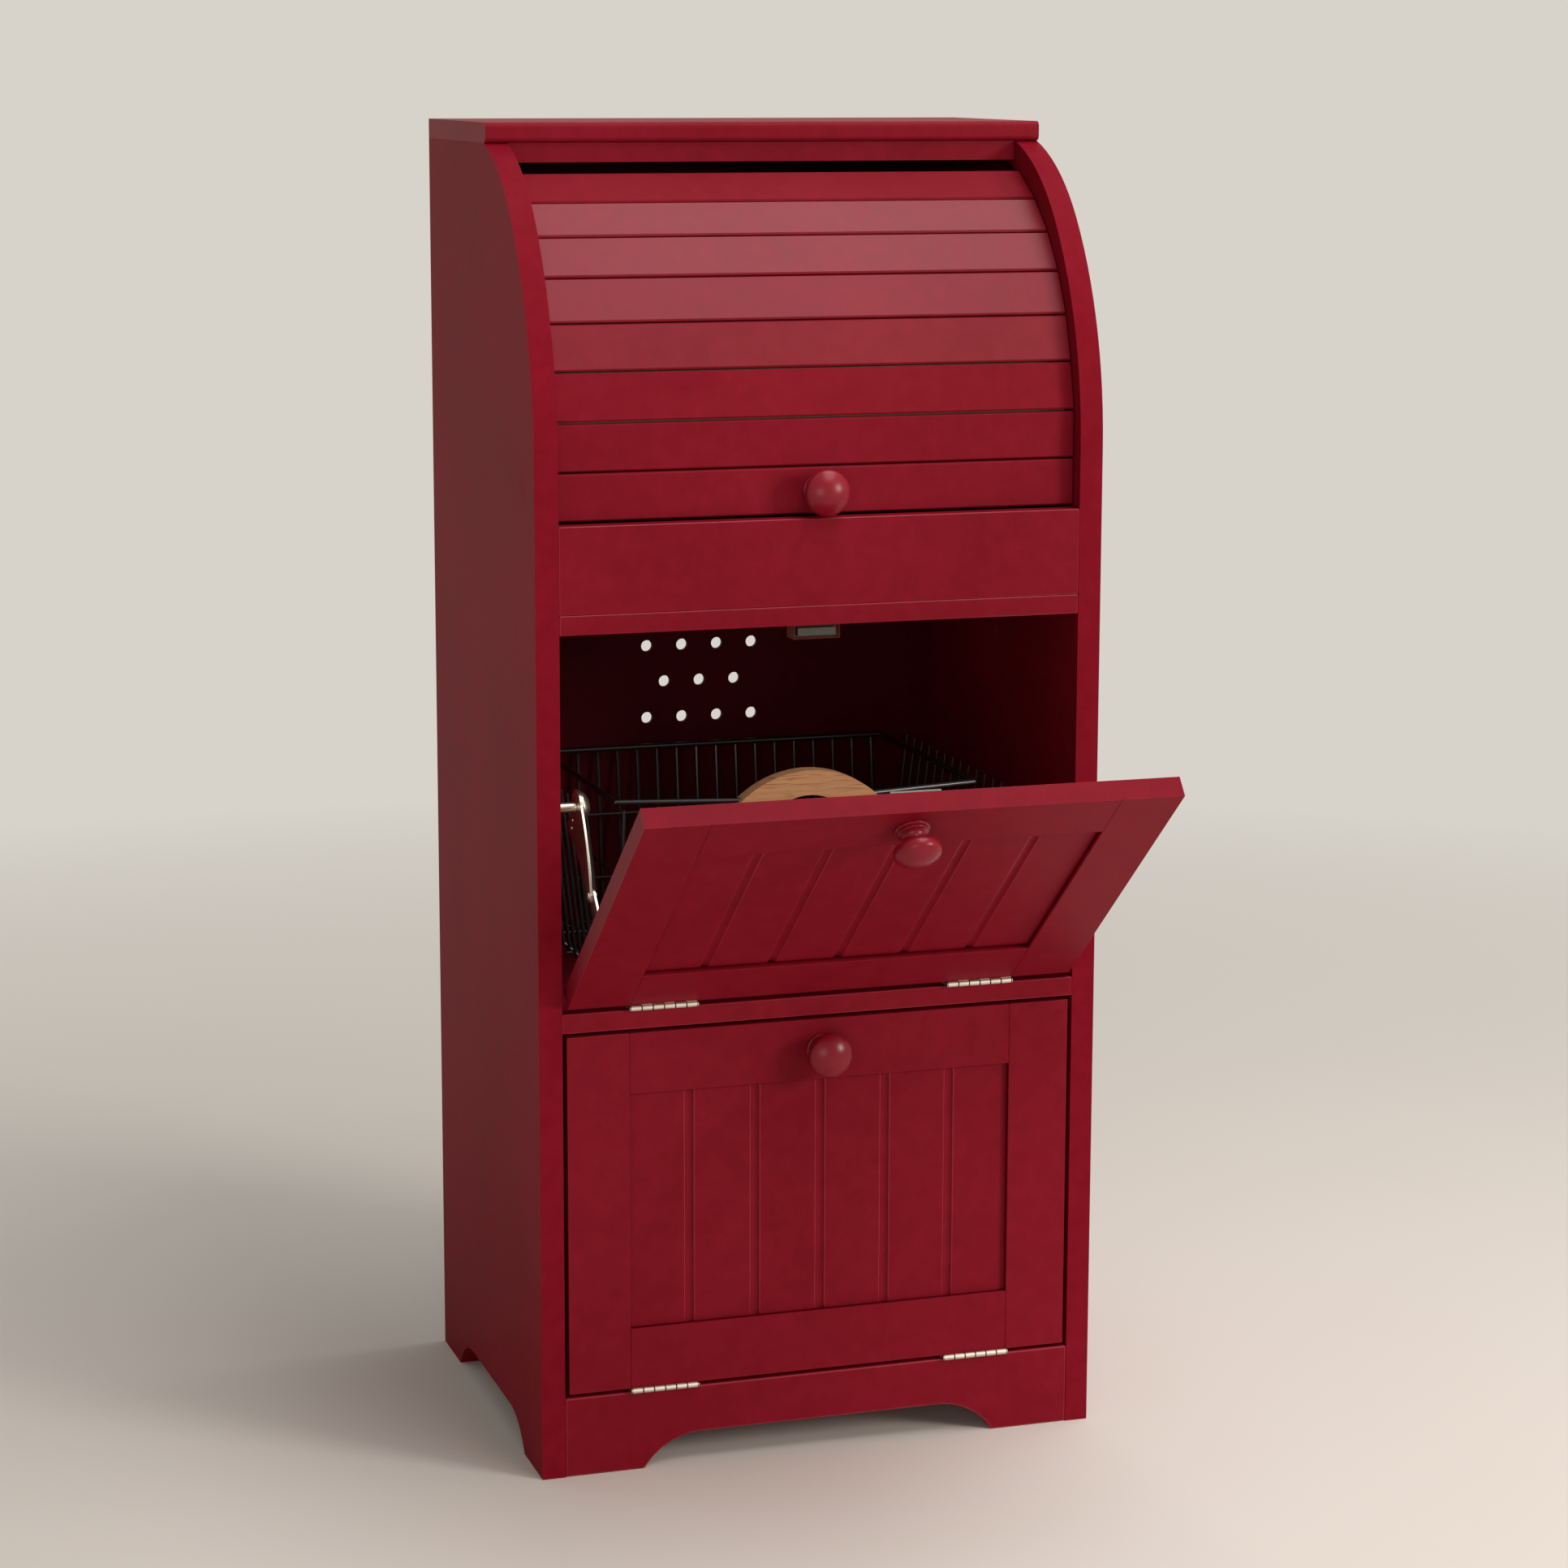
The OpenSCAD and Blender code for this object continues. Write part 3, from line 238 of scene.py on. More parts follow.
def paleOak():
    finish = Finish("paleOak", Specular_IOR_Level=0.4)
    rings = finish.wave(20, (0.2, 1, 3), 7, bands="Z")
    pores = finish.spread(finish.noise(700, 3, stretch=(0.06, 1, 1)), 0.55, 0.66)
    cloud = finish.noise(30, 3, stretch=(0.3, 1, 1))
    grained = finish.blend(rings * 0.28, finish.shades(cloud, "oak"), tone(*colours["oakRing"]))
    finish.put(
        Base_Color=finish.blend(pores * 0.7, grained, tone(*colours["oakPore"])),
        Roughness=0.42 + pores * 0.16,
        Normal=finish.bump(1 - pores, 0.22, 0.0002),
    )
    return finish.material


def plainBeech():
    finish = Finish("plainBeech")
    fleck = finish.spread(finish.noise(1100, 3, stretch=(0.15, 1, 1)), 0.5, 0.7)
    finish.put(
        Base_Color=finish.shades(fleck * 0.5, "beech"),
        Roughness=0.5 + fleck * 0.1,
        Normal=finish.bump(fleck, 0.1, 0.0001),
    )
    return finish.material


def brownPlastic():
    finish = Finish("brownPlastic", Specular_IOR_Level=0.45)
    fine = finish.noise(1800, 2)
    cloud = finish.noise(140, 3)
    finish.put(
        Base_Color=finish.shades(cloud, "plastic"),
        Roughness=0.40 + fine * 0.12,
        Normal=finish.bump(fine, 0.10, 0.0001),
    )
    return finish.material


def paintedSeamShade():
    # painted shade between the knuckles of a hinge: a dark coat on the rounded knuckle ends
    finish = Finish("paintedSeamShade", Specular_IOR_Level=0.1)
    pits = finish.noise(1300, 4)
    finish.put(Base_Color=finish.shades(pits, "seamShade"), Roughness=0.62 + pits * 0.15)
    return finish.material


def wovenCanvas():
    finish = Finish("wovenCanvas")
    warp = finish.wave(380, (1, 0, 0), 0.4, bands="X")
    weft = finish.wave(380, (0, 1, 1), 0.4, bands="Z")
    weave = warp * 0.5 + weft * 0.5
    slub = finish.noise(90, 3, stretch=(0.4, 1, 1))
    cloth = finish.shades(slub, "canvas")
    finish.put(
        Base_Color=finish.blend(weave * 0.5, cloth, tone(*colours["canvasShade"])),
        Roughness=0.82 + weave * 0.1,
        Normal=finish.bump(weave, 0.45, 0.0003),
    )
    return finish.material


print("materials")
coats = {  # gloss, roughness, and depth of colour: below 1 is darker, above 1 lighter; the back's darker red is painted shade, the rounded edges' lighter red a painted highlight
    "satinRedPaint": (0.06, 0.42, 1.0),
    "dullRedPaint": (0.02, 0.42, 1.0),
    "slatRedPaint": (0.22, 0.36, 1.0),
    "paintedShadeBackRedPaint": (0.06, 0.55, 0.66),
    "paintedHighlightRedEdge": (0.30, 0.30, 1.12),
    "turnedRedLacquer": (0.26, 0.24, 1.04),
}
# the fifth coat is a lighter red for rounded edges, a painted highlight; the fourth a darker red for the back,
# painted shade
paint, sidePaint, slatPaint, shadedBackPaint, paintedHighlightEdge, lacquer = (
    redPaint(name, *coat) for name, coat in coats.items()
)
nickel = nickelPlate("nickelPlate", 0.24)
satinNickel = nickelPlate("satinNickelPlate", 0.46)
zinc = zincScrews()
steel = poleSteel()
black = blackCoat()
oak = paleOak()
beech = plainBeech()
plastic = brownPlastic()
seamShade = paintedSeamShade()
canvas = wovenCanvas()


def addPiece(name, bm, body, slot, material, nodes=(), crease=35, evenNormals=False, edges=None):
    # edges is a second material, for the faces whose material_index is 1
    mesh = bpy.data.meshes.new(name)
    bm.to_mesh(mesh)
    bm.free()
    mesh.shade_smooth()
    mesh.set_sharp_from_angle(angle=radians(crease))
    mesh.materials.append(material)
    if edges:
        mesh.materials.append(edges)
    piece = bpy.data.objects.new(name, mesh)
    bpy.context.scene.collection.objects.link(piece)
    if evenNormals:  # keeps the broad faces flat beside their rounded edges
        even = piece.modifiers.new("evenNormals", "WEIGHTED_NORMAL")
        even.keep_sharp = True
        even.weight = 60
    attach(piece, body)
    if nodes:
        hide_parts(*nodes)
    return piece


def nodeMesh(node):
    # a merged copy of a node's solid, with its flat faces made whole
    bm = bmesh.new()
    bm.from_mesh(frame["nodes"][node].data)
    bmesh.ops.remove_doubles(bm, verts=bm.verts, dist=0.002 * mm)
    bmesh.ops.dissolve_limit(bm, angle_limit=radians(0.4), verts=bm.verts, edges=bm.edges)
    return bm


def softEdges(bm, width, segments=2, shortest=1.5, keep=None, sharper=25, paintedLightEdges=False, clamped=True):
    # rounds the outward edges, apart from those of small holes; the painted-light flag gives them the second
    # material: a lighter red as a painted highlight, or a dark coat as painted shade on hinge knuckles
    # clamped can cut a whole piece's width to almost nothing, as it does on the slats and side panels
    chosen = [
        edge for edge in bm.edges
        if edge.is_manifold and edge.calc_face_angle_signed() > radians(sharper)
        and edge.calc_length() > shortest * mm and not (keep and keep(edge))
    ]
    rounded = bmesh.ops.bevel(
        bm, geom=chosen, offset=width * mm, offset_type="OFFSET", affect="EDGES", segments=segments,
        profile=0.5, material=-1, clamp_overlap=clamped,
    )
    if paintedLightEdges:
        for face in rounded["faces"]:
            face.material_index = 1


def finished(node, width, material, segments=2, shortest=1.5, keep=None, edges=None):
    bm = nodeMesh(node)
    softEdges(bm, width, segments, shortest, keep, paintedLightEdges=bool(edges))
    name = node + "_finished"
    return addPiece(name, bm, bodyOf[node], slotOf[node], material, [node], evenNormals=True, edges=edges)


def spun(profile, steps=48):
    # turns a list of (radius, height) in mm about the Z axis; ends on the axis are closed
    bm = bmesh.new()
    points = [bm.verts.new((r * mm, 0, h * mm)) for r, h in profile]
    for first, second in zip(points, points[1:]):
        bm.edges.new((first, second))
    bmesh.ops.spin(
        bm, geom=bm.verts[:] + bm.edges[:], cent=(0, 0, 0), axis=(0, 0, 1), angle=2 * pi, steps=steps,
        use_merge=True, use_duplicate=False,
    )
    bmesh.ops.remove_doubles(bm, verts=bm.verts, dist=0.001 * mm)
    bmesh.ops.recalc_face_normals(bm, faces=bm.faces)
    return bm


def arc(centre, radius, first, last, steps):
    # points on an arc, as (radius, height) pairs; angles in degrees from level, turning up
    angles = [radians(first + (last - first) * i / steps) for i in range(steps + 1)]
    return [(centre[0] + radius * cos(a), centre[1] + radius * sin(a)) for a in angles]


def merged(parts):
    # joins (bmesh, matrix) pairs into one bmesh
    whole = bmesh.new()
    for bm, matrix in parts:
        bm.transform(matrix)
        if matrix.determinant() < 0:
            bmesh.ops.reverse_faces(bm, faces=bm.faces)
        scratch = bpy.data.meshes.new("scratch")
        bm.to_mesh(scratch)
        bm.free()
        whole.from_mesh(scratch)
        bpy.data.meshes.remove(scratch)
    return whole


def block(size, centre=(0, 0, 0), edge=0.0, segments=2):
    # a box in mm with rounded edges
    bm = bmesh.new()
    bmesh.ops.create_cube(bm, size=1)
    bmesh.ops.scale(bm, vec=Vector(size) * mm, verts=bm.verts)
    bmesh.ops.translate(bm, vec=Vector(centre) * mm, verts=bm.verts)
    if edge:
        softEdges(bm, edge, segments, 0)
    return bm


still = Matrix.Identity(4)
facing = {  # turns +Z to look this way
    "front": Matrix.Rotation(pi / 2, 4, "X"),
    "right": Matrix.Rotation(pi / 2, 4, "Y"),
    "left": Matrix.Rotation(-pi / 2, 4, "Y"),
}


def turnedBy(joint):
    # how far a door stands open at rest: its joint's low limit shuts it
    return radians(-joint["range_deg"][0])


def doorPlace(door):
    # from the hinge axis of an upright door to where the door is at rest
    joint = joints[door + "_door_hinge"]
    return Matrix.Translation(joint["pos_m"]) @ Matrix.Rotation(turnedBy(joint), 4, "X")


print("boards")
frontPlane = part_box("front_fascia")[0].y
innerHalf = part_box("front_fascia")[1].x
tambourPivot = Vector(joints["tambour_slide"]["pos_m"])

boards = {  # width of the rounded edges in mm, and how many steps round them
    "top_board": (1.2, 2),
    "top_rail": (0.8, 2),
    "back_panel": (0.5, 1),
    "bread_shelf": (1.0, 2),
    "front_fascia": (0.8, 2),
    "divider_shelf": (0.8, 2),
    "bottom_shelf": (0.8, 2),
    "apron": (1.4, 3),
}
sidePanel = {"edge": 3.2, "steps": 4, "grooveFrom": 180, "grooveTo": 212, "grooveSpare": 0.5}
slat = {"edge": 0.4, "steps": 2, "count": 8, "glossy": (2, 3, 4, 5)}
doorFinish = {"rim": 2.8, "rimSteps": 4, "joint": 0.6, "bead": 0.7, "near": 0.05}


def inGroove(edge):
    # the grooves that guide the tambour keep their crisp edges
    return all(
        sidePanel["grooveFrom"] * mm < (vert.co.yz - tambourPivot.yz).length < sidePanel["grooveTo"] * mm
        and abs(vert.co.x) < innerHalf + sidePanel["grooveSpare"] * mm
        for vert in edge.verts
    )


# apart from the back, the boards and side panels get a lighter red on their rounded edges as a painted highlight
for node, (edge, steps) in boards.items():
    # the back panel gets a darker red, painted shade for the dim inside of the cabinet
    if node == "back_panel":
        finished(node, edge, shadedBackPaint, steps)
    else:
        finished(node, edge, paint, steps, edges=paintedHighlightEdge)
for side in ("left", "right"):
    node = side + "_side_panel"
    finished(node, sidePanel["edge"], sidePaint, sidePanel["steps"], keep=inGroove, edges=paintedHighlightEdge)
for number in range(1, slat["count"] + 1):
    coat = slatPaint if number in slat["glossy"] else paint
    finished("tambour_slat_%d" % number, slat["edge"], coat, slat["steps"])

shutHinge = Vector(joints["lower_door_hinge"]["pos_m"])
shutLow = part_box("lower_door_left_stile")[0] - shutHinge  # the shut door's corners, from its hinge
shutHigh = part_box("lower_door_right_stile")[1] - shutHinge


def onRim(edge):
    # along one of the door's twelve outer edges
    near = doorFinish["near"] * mm
    flush = [
        [abs(vert.co[i] - side[i]) < near for i in range(3) for side in (shutLow, shutHigh)]
        for vert in edge.verts
    ]
    return sum(first and last for first, last in zip(*flush)) == 2


def onFront(edge):
    return all(abs(vert.co.y - shutLow.y) < doorFinish["near"] * mm for vert in edge.verts)


def doorPiece(which, part):
    # small soft edges where the frame's pieces meet, then the door's own rounding, which clamping cuts down
    node = "%s_door_%s" % (which, part)
    bm = nodeMesh(node)
    bm.transform(doorPlace(which).inverted())
    softEdges(bm, doorFinish["joint"], 2, 1.5, lambda edge: onRim(edge) or not onFront(edge))
    # the door's rounding gets a lighter red as a painted highlight
    softEdges(bm, doorFinish["rim"], doorFinish["rimSteps"], 1.5, lambda edge: not onRim(edge), paintedLightEdges=True)
    bm.transform(doorPlace(which))
    name = node + "_finished"
    addPiece(name, bm, bodyOf[node], slotOf[node], paint, [node], evenNormals=True, edges=paintedHighlightEdge)


for which in doors:
    for part in ("left_stile", "right_stile", "top_rail", "bottom_rail"):
        doorPiece(which, part)
    # the panel's softened edges get the painted highlight too
    finished(which + "_door_beaded_panel", doorFinish["bead"], paint, edges=paintedHighlightEdge)


knob = {  # mm; the head's rim and dome are arcs, the foot has two turned rings
    "foot": 13, "ring": 2.0, "ringStep": 1.3, "upperRing": 0.9, "neck": 8, "neckHeight": 9.2,
    "rim": 6, "rimOut": 11.5, "rimHeight": 19, "domeDrop": 14, "steps": 64,
}


def turnedKnob():
    rimMiddle = (knob["rimOut"], knob["rimHeight"])
    domeMiddle = (0, knob["rimHeight"] - knob["domeDrop"])
    domeRadius = knob["rim"] + sqrt(knob["rimOut"] ** 2 + knob["domeDrop"] ** 2)
    meet = atan2(knob["domeDrop"], knob["rimOut"]) * 180 / pi
    foot, ring, step, neck = knob["foot"], knob["ring"], knob["ringStep"], knob["neck"]
    neckHeight = knob["neckHeight"]
    profile = [(0, 0), (foot - 0.3, 0)]
    profile += arc((foot - ring / 2, ring / 2), ring / 2, -60, 80, 6)
    profile += [(foot - step, ring + 0.15), (foot - step, ring + 0.6)]
    profile += arc((foot - step - knob["upperRing"], ring + 1.5), knob["upperRing"], -60, 80, 6)
    profile += [(foot - 2 * step - 0.6, ring + 2.6), (foot - 2 * step - 1.4, ring + 3.4)]
    profile += [(neck + 1.1, ring + 4.4), (neck + 0.3, ring + 5.6)]
    profile += [(neck, neckHeight), (neck + 0.3, neckHeight + 1.6), (neck + 1.3, neckHeight + 2.9)]
    profile += arc(rimMiddle, knob["rim"], -82, meet, 18)
    profile += arc(domeMiddle, domeRadius, meet + 3, 88, 14)
    profile += [(0, domeMiddle[1] + domeRadius)]
    return spun(profile, knob["steps"])


def placedKnob(node, place):
    bm = merged([(turnedKnob(), place @ facing["front"])])
    addPiece(node + "_turned", bm, bodyOf[node], "red_paint", lacquer, [node])


print("knobs")
low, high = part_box("lower_door_knob")
height = (low.z + high.z) / 2 - shutHinge.z  # measured on the shut door
onDoor = Matrix.Translation((0, frontPlane - shutHinge.y, height))
for door in doors:
    placedKnob(door + "_door_knob", doorPlace(door) @ onDoor)
low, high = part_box("tambour_knob")
placedKnob("tambour_knob", Matrix.Translation((0, high.y, (low.z + high.z) / 2)))

screwHead = {  # the first two lines in mm, the last line in shares of the head's radius or height
    "domedFrom": 3.5, "domedHeight": 2.4, "flatHeight": 1.2,
    "lip": 0.12, "point": 0.2, "taper": 1.5, "steps": 32,
    "rise": 0.45, "recess": 0.55, "recessTip": 0.10, "recessRim": 0.52, "lobe": 0.34,
}


def crossHead(radius, height, domed):
    # a screw's head on the XY plane, with a cross recess
    rise = height * screwHead["rise"] if domed else 0
    bottom = -height * screwHead["recess"]
    profile = [(0, bottom), (radius * screwHead["recessTip"], bottom)]
    profile += [(radius * screwHead["recessRim"], rise * 0.75)]
    if domed:
        profile += [(radius * 0.8, rise * 0.45), (radius, -height * 0.1), (radius, -height * 0.5)]
    else:
        profile += [(radius * 0.93, 0), (radius, -screwHead["lip"])]
    bm = spun(profile, screwHead["steps"])
    for vert in bm.verts:
        away = vert.co.xy.length
        if 0.3 * radius * mm < away < 0.6 * radius * mm:
            arm = abs(cos(2 * atan2(vert.co.y, vert.co.x))) ** 3
            lobe = screwHead["lobe"] + (1 - screwHead["lobe"]) * arm
            vert.co.x *= lobe
            vert.co.y *= lobe
    return bm


def screw(radius, headRadius, headHeight, length, domed=False):
    # a screw whose head's top is at the origin and whose point looks down
    if domed:
        under = [(headRadius, -headHeight * 0.5), (radius, -headHeight * 0.52)]
    else:
        under = [(headRadius, -screwHead["lip"]), (radius, -headHeight)]
    end = -length - headHeight
    shank = spun(under + [(radius, screwHead["taper"] + end), (screwHead["point"], end)], screwHead["steps"])
    bm = merged([(crossHead(headRadius, headHeight, domed), still), (shank, still)])
    bmesh.ops.remove_doubles(bm, verts=bm.verts, dist=0.005 * mm)
    bmesh.ops.holes_fill(bm, edges=bm.edges, sides=0)
    bmesh.ops.recalc_face_normals(bm, faces=bm.faces)
    return bm


def solidsOf(bm):
    # the vertices of each separate solid, in the same order each time
    left = dict.fromkeys(bm.verts)
    while left:
        queue = [left.popitem()[0]]
        found = []
        while queue:
            vert = queue.pop()
            found.append(vert)
            for edge in vert.link_edges:
                other = edge.other_vert(vert)
                if other in left:
                    del left[other]
                    queue.append(other)
        yield found


def corners(verts):
    low = Vector([min(vert.co[i] for vert in verts) for i in range(3)])
    high = Vector([max(vert.co[i] for vert in verts) for i in range(3)])
    return low, high


def detailedScrews(node, upright=still):
    # puts a detailed screw where each of the node's plain ones is
    plain = nodeMesh(node)
    plain.transform(upright.inverted())
    made = []
    for verts in solidsOf(plain):
        low, high = corners(verts)
        size = high - low
        along = max(range(3), key=lambda i: size[i])
        across = [i for i in range(3) if i != along]
        middle = (low + high) / 2

        def widest(end):
            near = [vert.co - middle for vert in verts if abs(vert.co[along] - end) < 0.3 * mm]
            return max(sqrt(sum(offset[i] ** 2 for i in across)) for offset in near)

        headHigh = widest(high[along]) > widest(low[along])
        top = middle.copy()
        top[along] = high[along] if headHigh else low[along]
        out = Vector((0, 0, 0))
        out[along] = 1 if headHigh else -1
        headRadius = max(widest(high[along]), widest(low[along])) / mm
        domed = headRadius > screwHead["domedFrom"]
        headHeight = screwHead["domedHeight"] if domed else screwHead["flatHeight"]
        bm = screw(headRadius / 2, headRadius, headHeight, size[along] / mm - headHeight, domed)
        turn = out.to_track_quat("Z", "Y").to_matrix().to_4x4()
        made.append((bm, upright @ Matrix.Translation(top) @ turn))
    plain.free()
    return addPiece(node + "_detailed", merged(made), bodyOf[node], slotOf[node], zinc, [node])


print("fasteners")
detailedScrews("cabinet_screws")
detailedScrews("tambour_knob_screw")
for door in doors:
    detailedScrews(door + "_door_screws", doorPlace(door))


print("hinges and stays")
leaf = {"edge": 0.14, "knuckleEnd": 0.42, "bore": 1.7, "barrel": 2.3}  # mm
fineEdge = 0.02  # mm, the shortest edge that is rounded on small metal parts
hingeAxes = [Vector(joints[door + "_door_hinge"]["pos_m"]) for door in doors]


def onKnuckle(edge):
    # round the end of a knuckle, which gets the painted shade of the seam
    first, second = (vert.co for vert in edge.verts)
    near = [
        all(leaf["bore"] * mm < (co.yz - axis.yz).length < leaf["barrel"] * mm for co in (first, second))
        for axis in hingeAxes
    ]
    return any(near) and abs(first.x - second.x) < doorFinish["near"] * mm


def hingeLeaves(node):
    bm = nodeMesh(node)
    # the knuckle ends get a dark coat as painted shade in the seams
    softEdges(
        bm, leaf["knuckleEnd"], 2, fineEdge, lambda edge: not onKnuckle(edge), paintedLightEdges=True, clamped=False,
    )
    softEdges(bm, leaf["edge"], 2, fineEdge, onKnuckle)
    name = node + "_finished"
    addPiece(name, bm, bodyOf[node], slotOf[node], satinNickel, [node], evenNormals=True, edges=seamShade)


for node in ("hinge_cabinet_leaves", "upper_door_hinge_leaves", "lower_door_hinge_leaves"):
    hingeLeaves(node)

metal = {  # node: width of the softened edges in mm
    "hinge_pins": 0.2,
    "stay_side_brackets": 0.4,
    "upper_door_stay_bracket": 0.35,
    "lower_door_stay_bracket": 0.35,
    "upper_stay_arm": 0.3,
    "lower_stay_arm": 0.3,
    "upper_stay_link": 0.3,
    "lower_stay_link": 0.3,
}
for node, edge in metal.items():
    finished(node, edge, nickel, 2, shortest=fineEdge)

catch = {  # mm
    "wall": 1.1, "recess": 6, "flange": 2, "edge": 0.35, "earEdge": 0.5, "poleEdge": 0.5, "body": 37,
    "strikeEdge": 0.4,
}


def catchHousing(low, high):
    # the block with its open mouth in front, and an ear on each side
    size = (high - low) / mm
    middle = (low + high) / 2 / mm
    body = block((catch["body"], size.y, size.z), middle)
    mouth = min(body.faces, key=lambda face: face.calc_center_median().y)
    bmesh.ops.inset_region(body, faces=[mouth], thickness=catch["wall"] * mm, use_even_offset=True)
    bmesh.ops.translate(body, vec=(0, catch["recess"] * mm, 0), verts=mouth.verts)
    softEdges(body, catch["edge"], 2, 0)
    earMiddle = (middle.x, middle.y, high.z / mm - catch["flange"] / 2)
    ears = block((size.x, size.y, catch["flange"]), earMiddle, catch["earEdge"])
    return merged([(body, still), (ears, still)])


print("catches")
for door in doors:
    finished(door + "_door_strike_plate", catch["strikeEdge"], steel, 2, shortest=fineEdge)
plain = nodeMesh("magnetic_catches")
boxes = [corners(verts) for verts in solidsOf(plain)]
plain.free()
housings = [pair for pair in boxes if (pair[1] - pair[0]).x > catch["body"] * mm]
poles = [pair for pair in boxes if (pair[1] - pair[0]).x < catch["body"] * mm]
mouths = merged([(catchHousing(low, high), still) for low, high in housings])
addPiece(
    "catch_housings", mouths, "cabinet", "catch_plastic", plastic, ["magnetic_catches"], evenNormals=True,
)
plates = merged([
    (block((high - low) / mm, (low + high) / 2 / mm, catch["poleEdge"]), still) for low, high in poles
])
addPiece("catch_pole_plates", plates, "cabinet", "nickel_steel", steel, evenNormals=True)

cap = {  # mm
    "radius": 7.5, "height": 1.6, "rim": 0.7, "dish": 0.12, "stem": 2.5, "stemLength": 8, "steps": 40,
}


def coverCap():
    profile = [(0, -cap["stemLength"]), (cap["stem"], -cap["stemLength"]), (cap["stem"], 0)]
    profile += arc((cap["radius"] - cap["rim"], cap["rim"]), cap["rim"], -80, 60, 5)
    profile += [(cap["radius"] * 0.6, cap["height"] - cap["dish"]), (0, cap["height"])]
    return spun(profile, cap["steps"])


plain = nodeMesh("cover_caps")
made = []
for verts in solidsOf(plain):
    low, high = corners(verts)
    side = 1 if low.x > 0 else -1
    middle = (low + high) / 2
    inward = facing["left" if side > 0 else "right"]
    made.append((coverCap(), Matrix.Translation((side * innerHalf, middle.y, middle.z)) @ inward))
plain.free()
addPiece("cover_caps_turned", merged(made), "cabinet", "red_paint", paint, ["cover_caps"])

canvasEdge = 0.25  # mm
finished("tambour_canvas", canvasEdge, canvas, 1)
for slotNow in frame["nodes"]["shelf_dowels"].material_slots:
    slotNow.material = beech


basket = {  # mm; rings and crossWires are shares of the depth and of half the floor
    "wire": 1.5, "corner": 24, "ringCorner": 20, "bend": 7, "foot": 12, "longWires": 18, "shortWires": 13,
    "rings": (0.38, 0.74, 1), "crossWires": (-0.55, 0, 0.55), "crossLift": 2.7, "crossIn": 3, "tuck": 0.4,
    "handle": 110, "handleGap": 2, "wireIn": 13, "handleEdge": 2.6,
}


def filleted(points, radius, steps=6, closed=False):
    # a wire's corner points in mm, with each bend rounded
    points = [Vector(point) for point in points]
    if closed:
        triples = list(zip(points[-1:] + points[:-1], points, points[1:] + points[:1]))
        path = []
    else:
        triples = list(zip(points, points[1:], points[2:]))
        path = [points[0]]
    for before, corner, after in triples:
        inward = (before - corner).normalized()
        outward = (after - corner).normalized()
        half = inward.angle(outward) / 2
        centre = corner + (inward + outward).normalized() * radius / sin(half)
        first = corner + inward * radius * cos(half) / sin(half) - centre
        last = corner + outward * radius * cos(half) / sin(half) - centre
        path += [centre + first.slerp(last, i / steps) for i in range(steps + 1)]
    return path if closed else path + [points[-1]]


def wires(paths, radius, sides=8, closed=False):
    # tubes along lists of points in mm, as one bmesh
    curve = bpy.data.curves.new("scratch", "CURVE")
    curve.dimensions = "3D"
    curve.bevel_depth = radius * mm
    curve.bevel_resolution = (sides - 4) // 2
    curve.use_fill_caps = True
    for path in paths:
        spline = curve.splines.new("POLY")
        spline.use_cyclic_u = closed
        spline.points.add(len(path) - 1)
        for point, place in zip(spline.points, path):
            point.co = (*(place * mm), 1)
    holder = bpy.data.objects.new("scratch", curve)
    bpy.context.scene.collection.objects.link(holder)
    solid = bpy.data.meshes.new_from_object(holder.evaluated_get(bpy.context.evaluated_depsgraph_get()))
    bm = bmesh.new()
    bm.from_mesh(solid)
    bpy.data.objects.remove(holder)
    bpy.data.curves.remove(curve)
    bpy.data.meshes.remove(solid)
    bmesh.ops.remove_doubles(bm, verts=bm.verts, dist=0.001 * mm)
    bmesh.ops.recalc_face_normals(bm, faces=bm.faces)
    return bm


def spacedOut(half, count):
    return [-half + 2 * half * i / (count - 1) for i in range(count)]


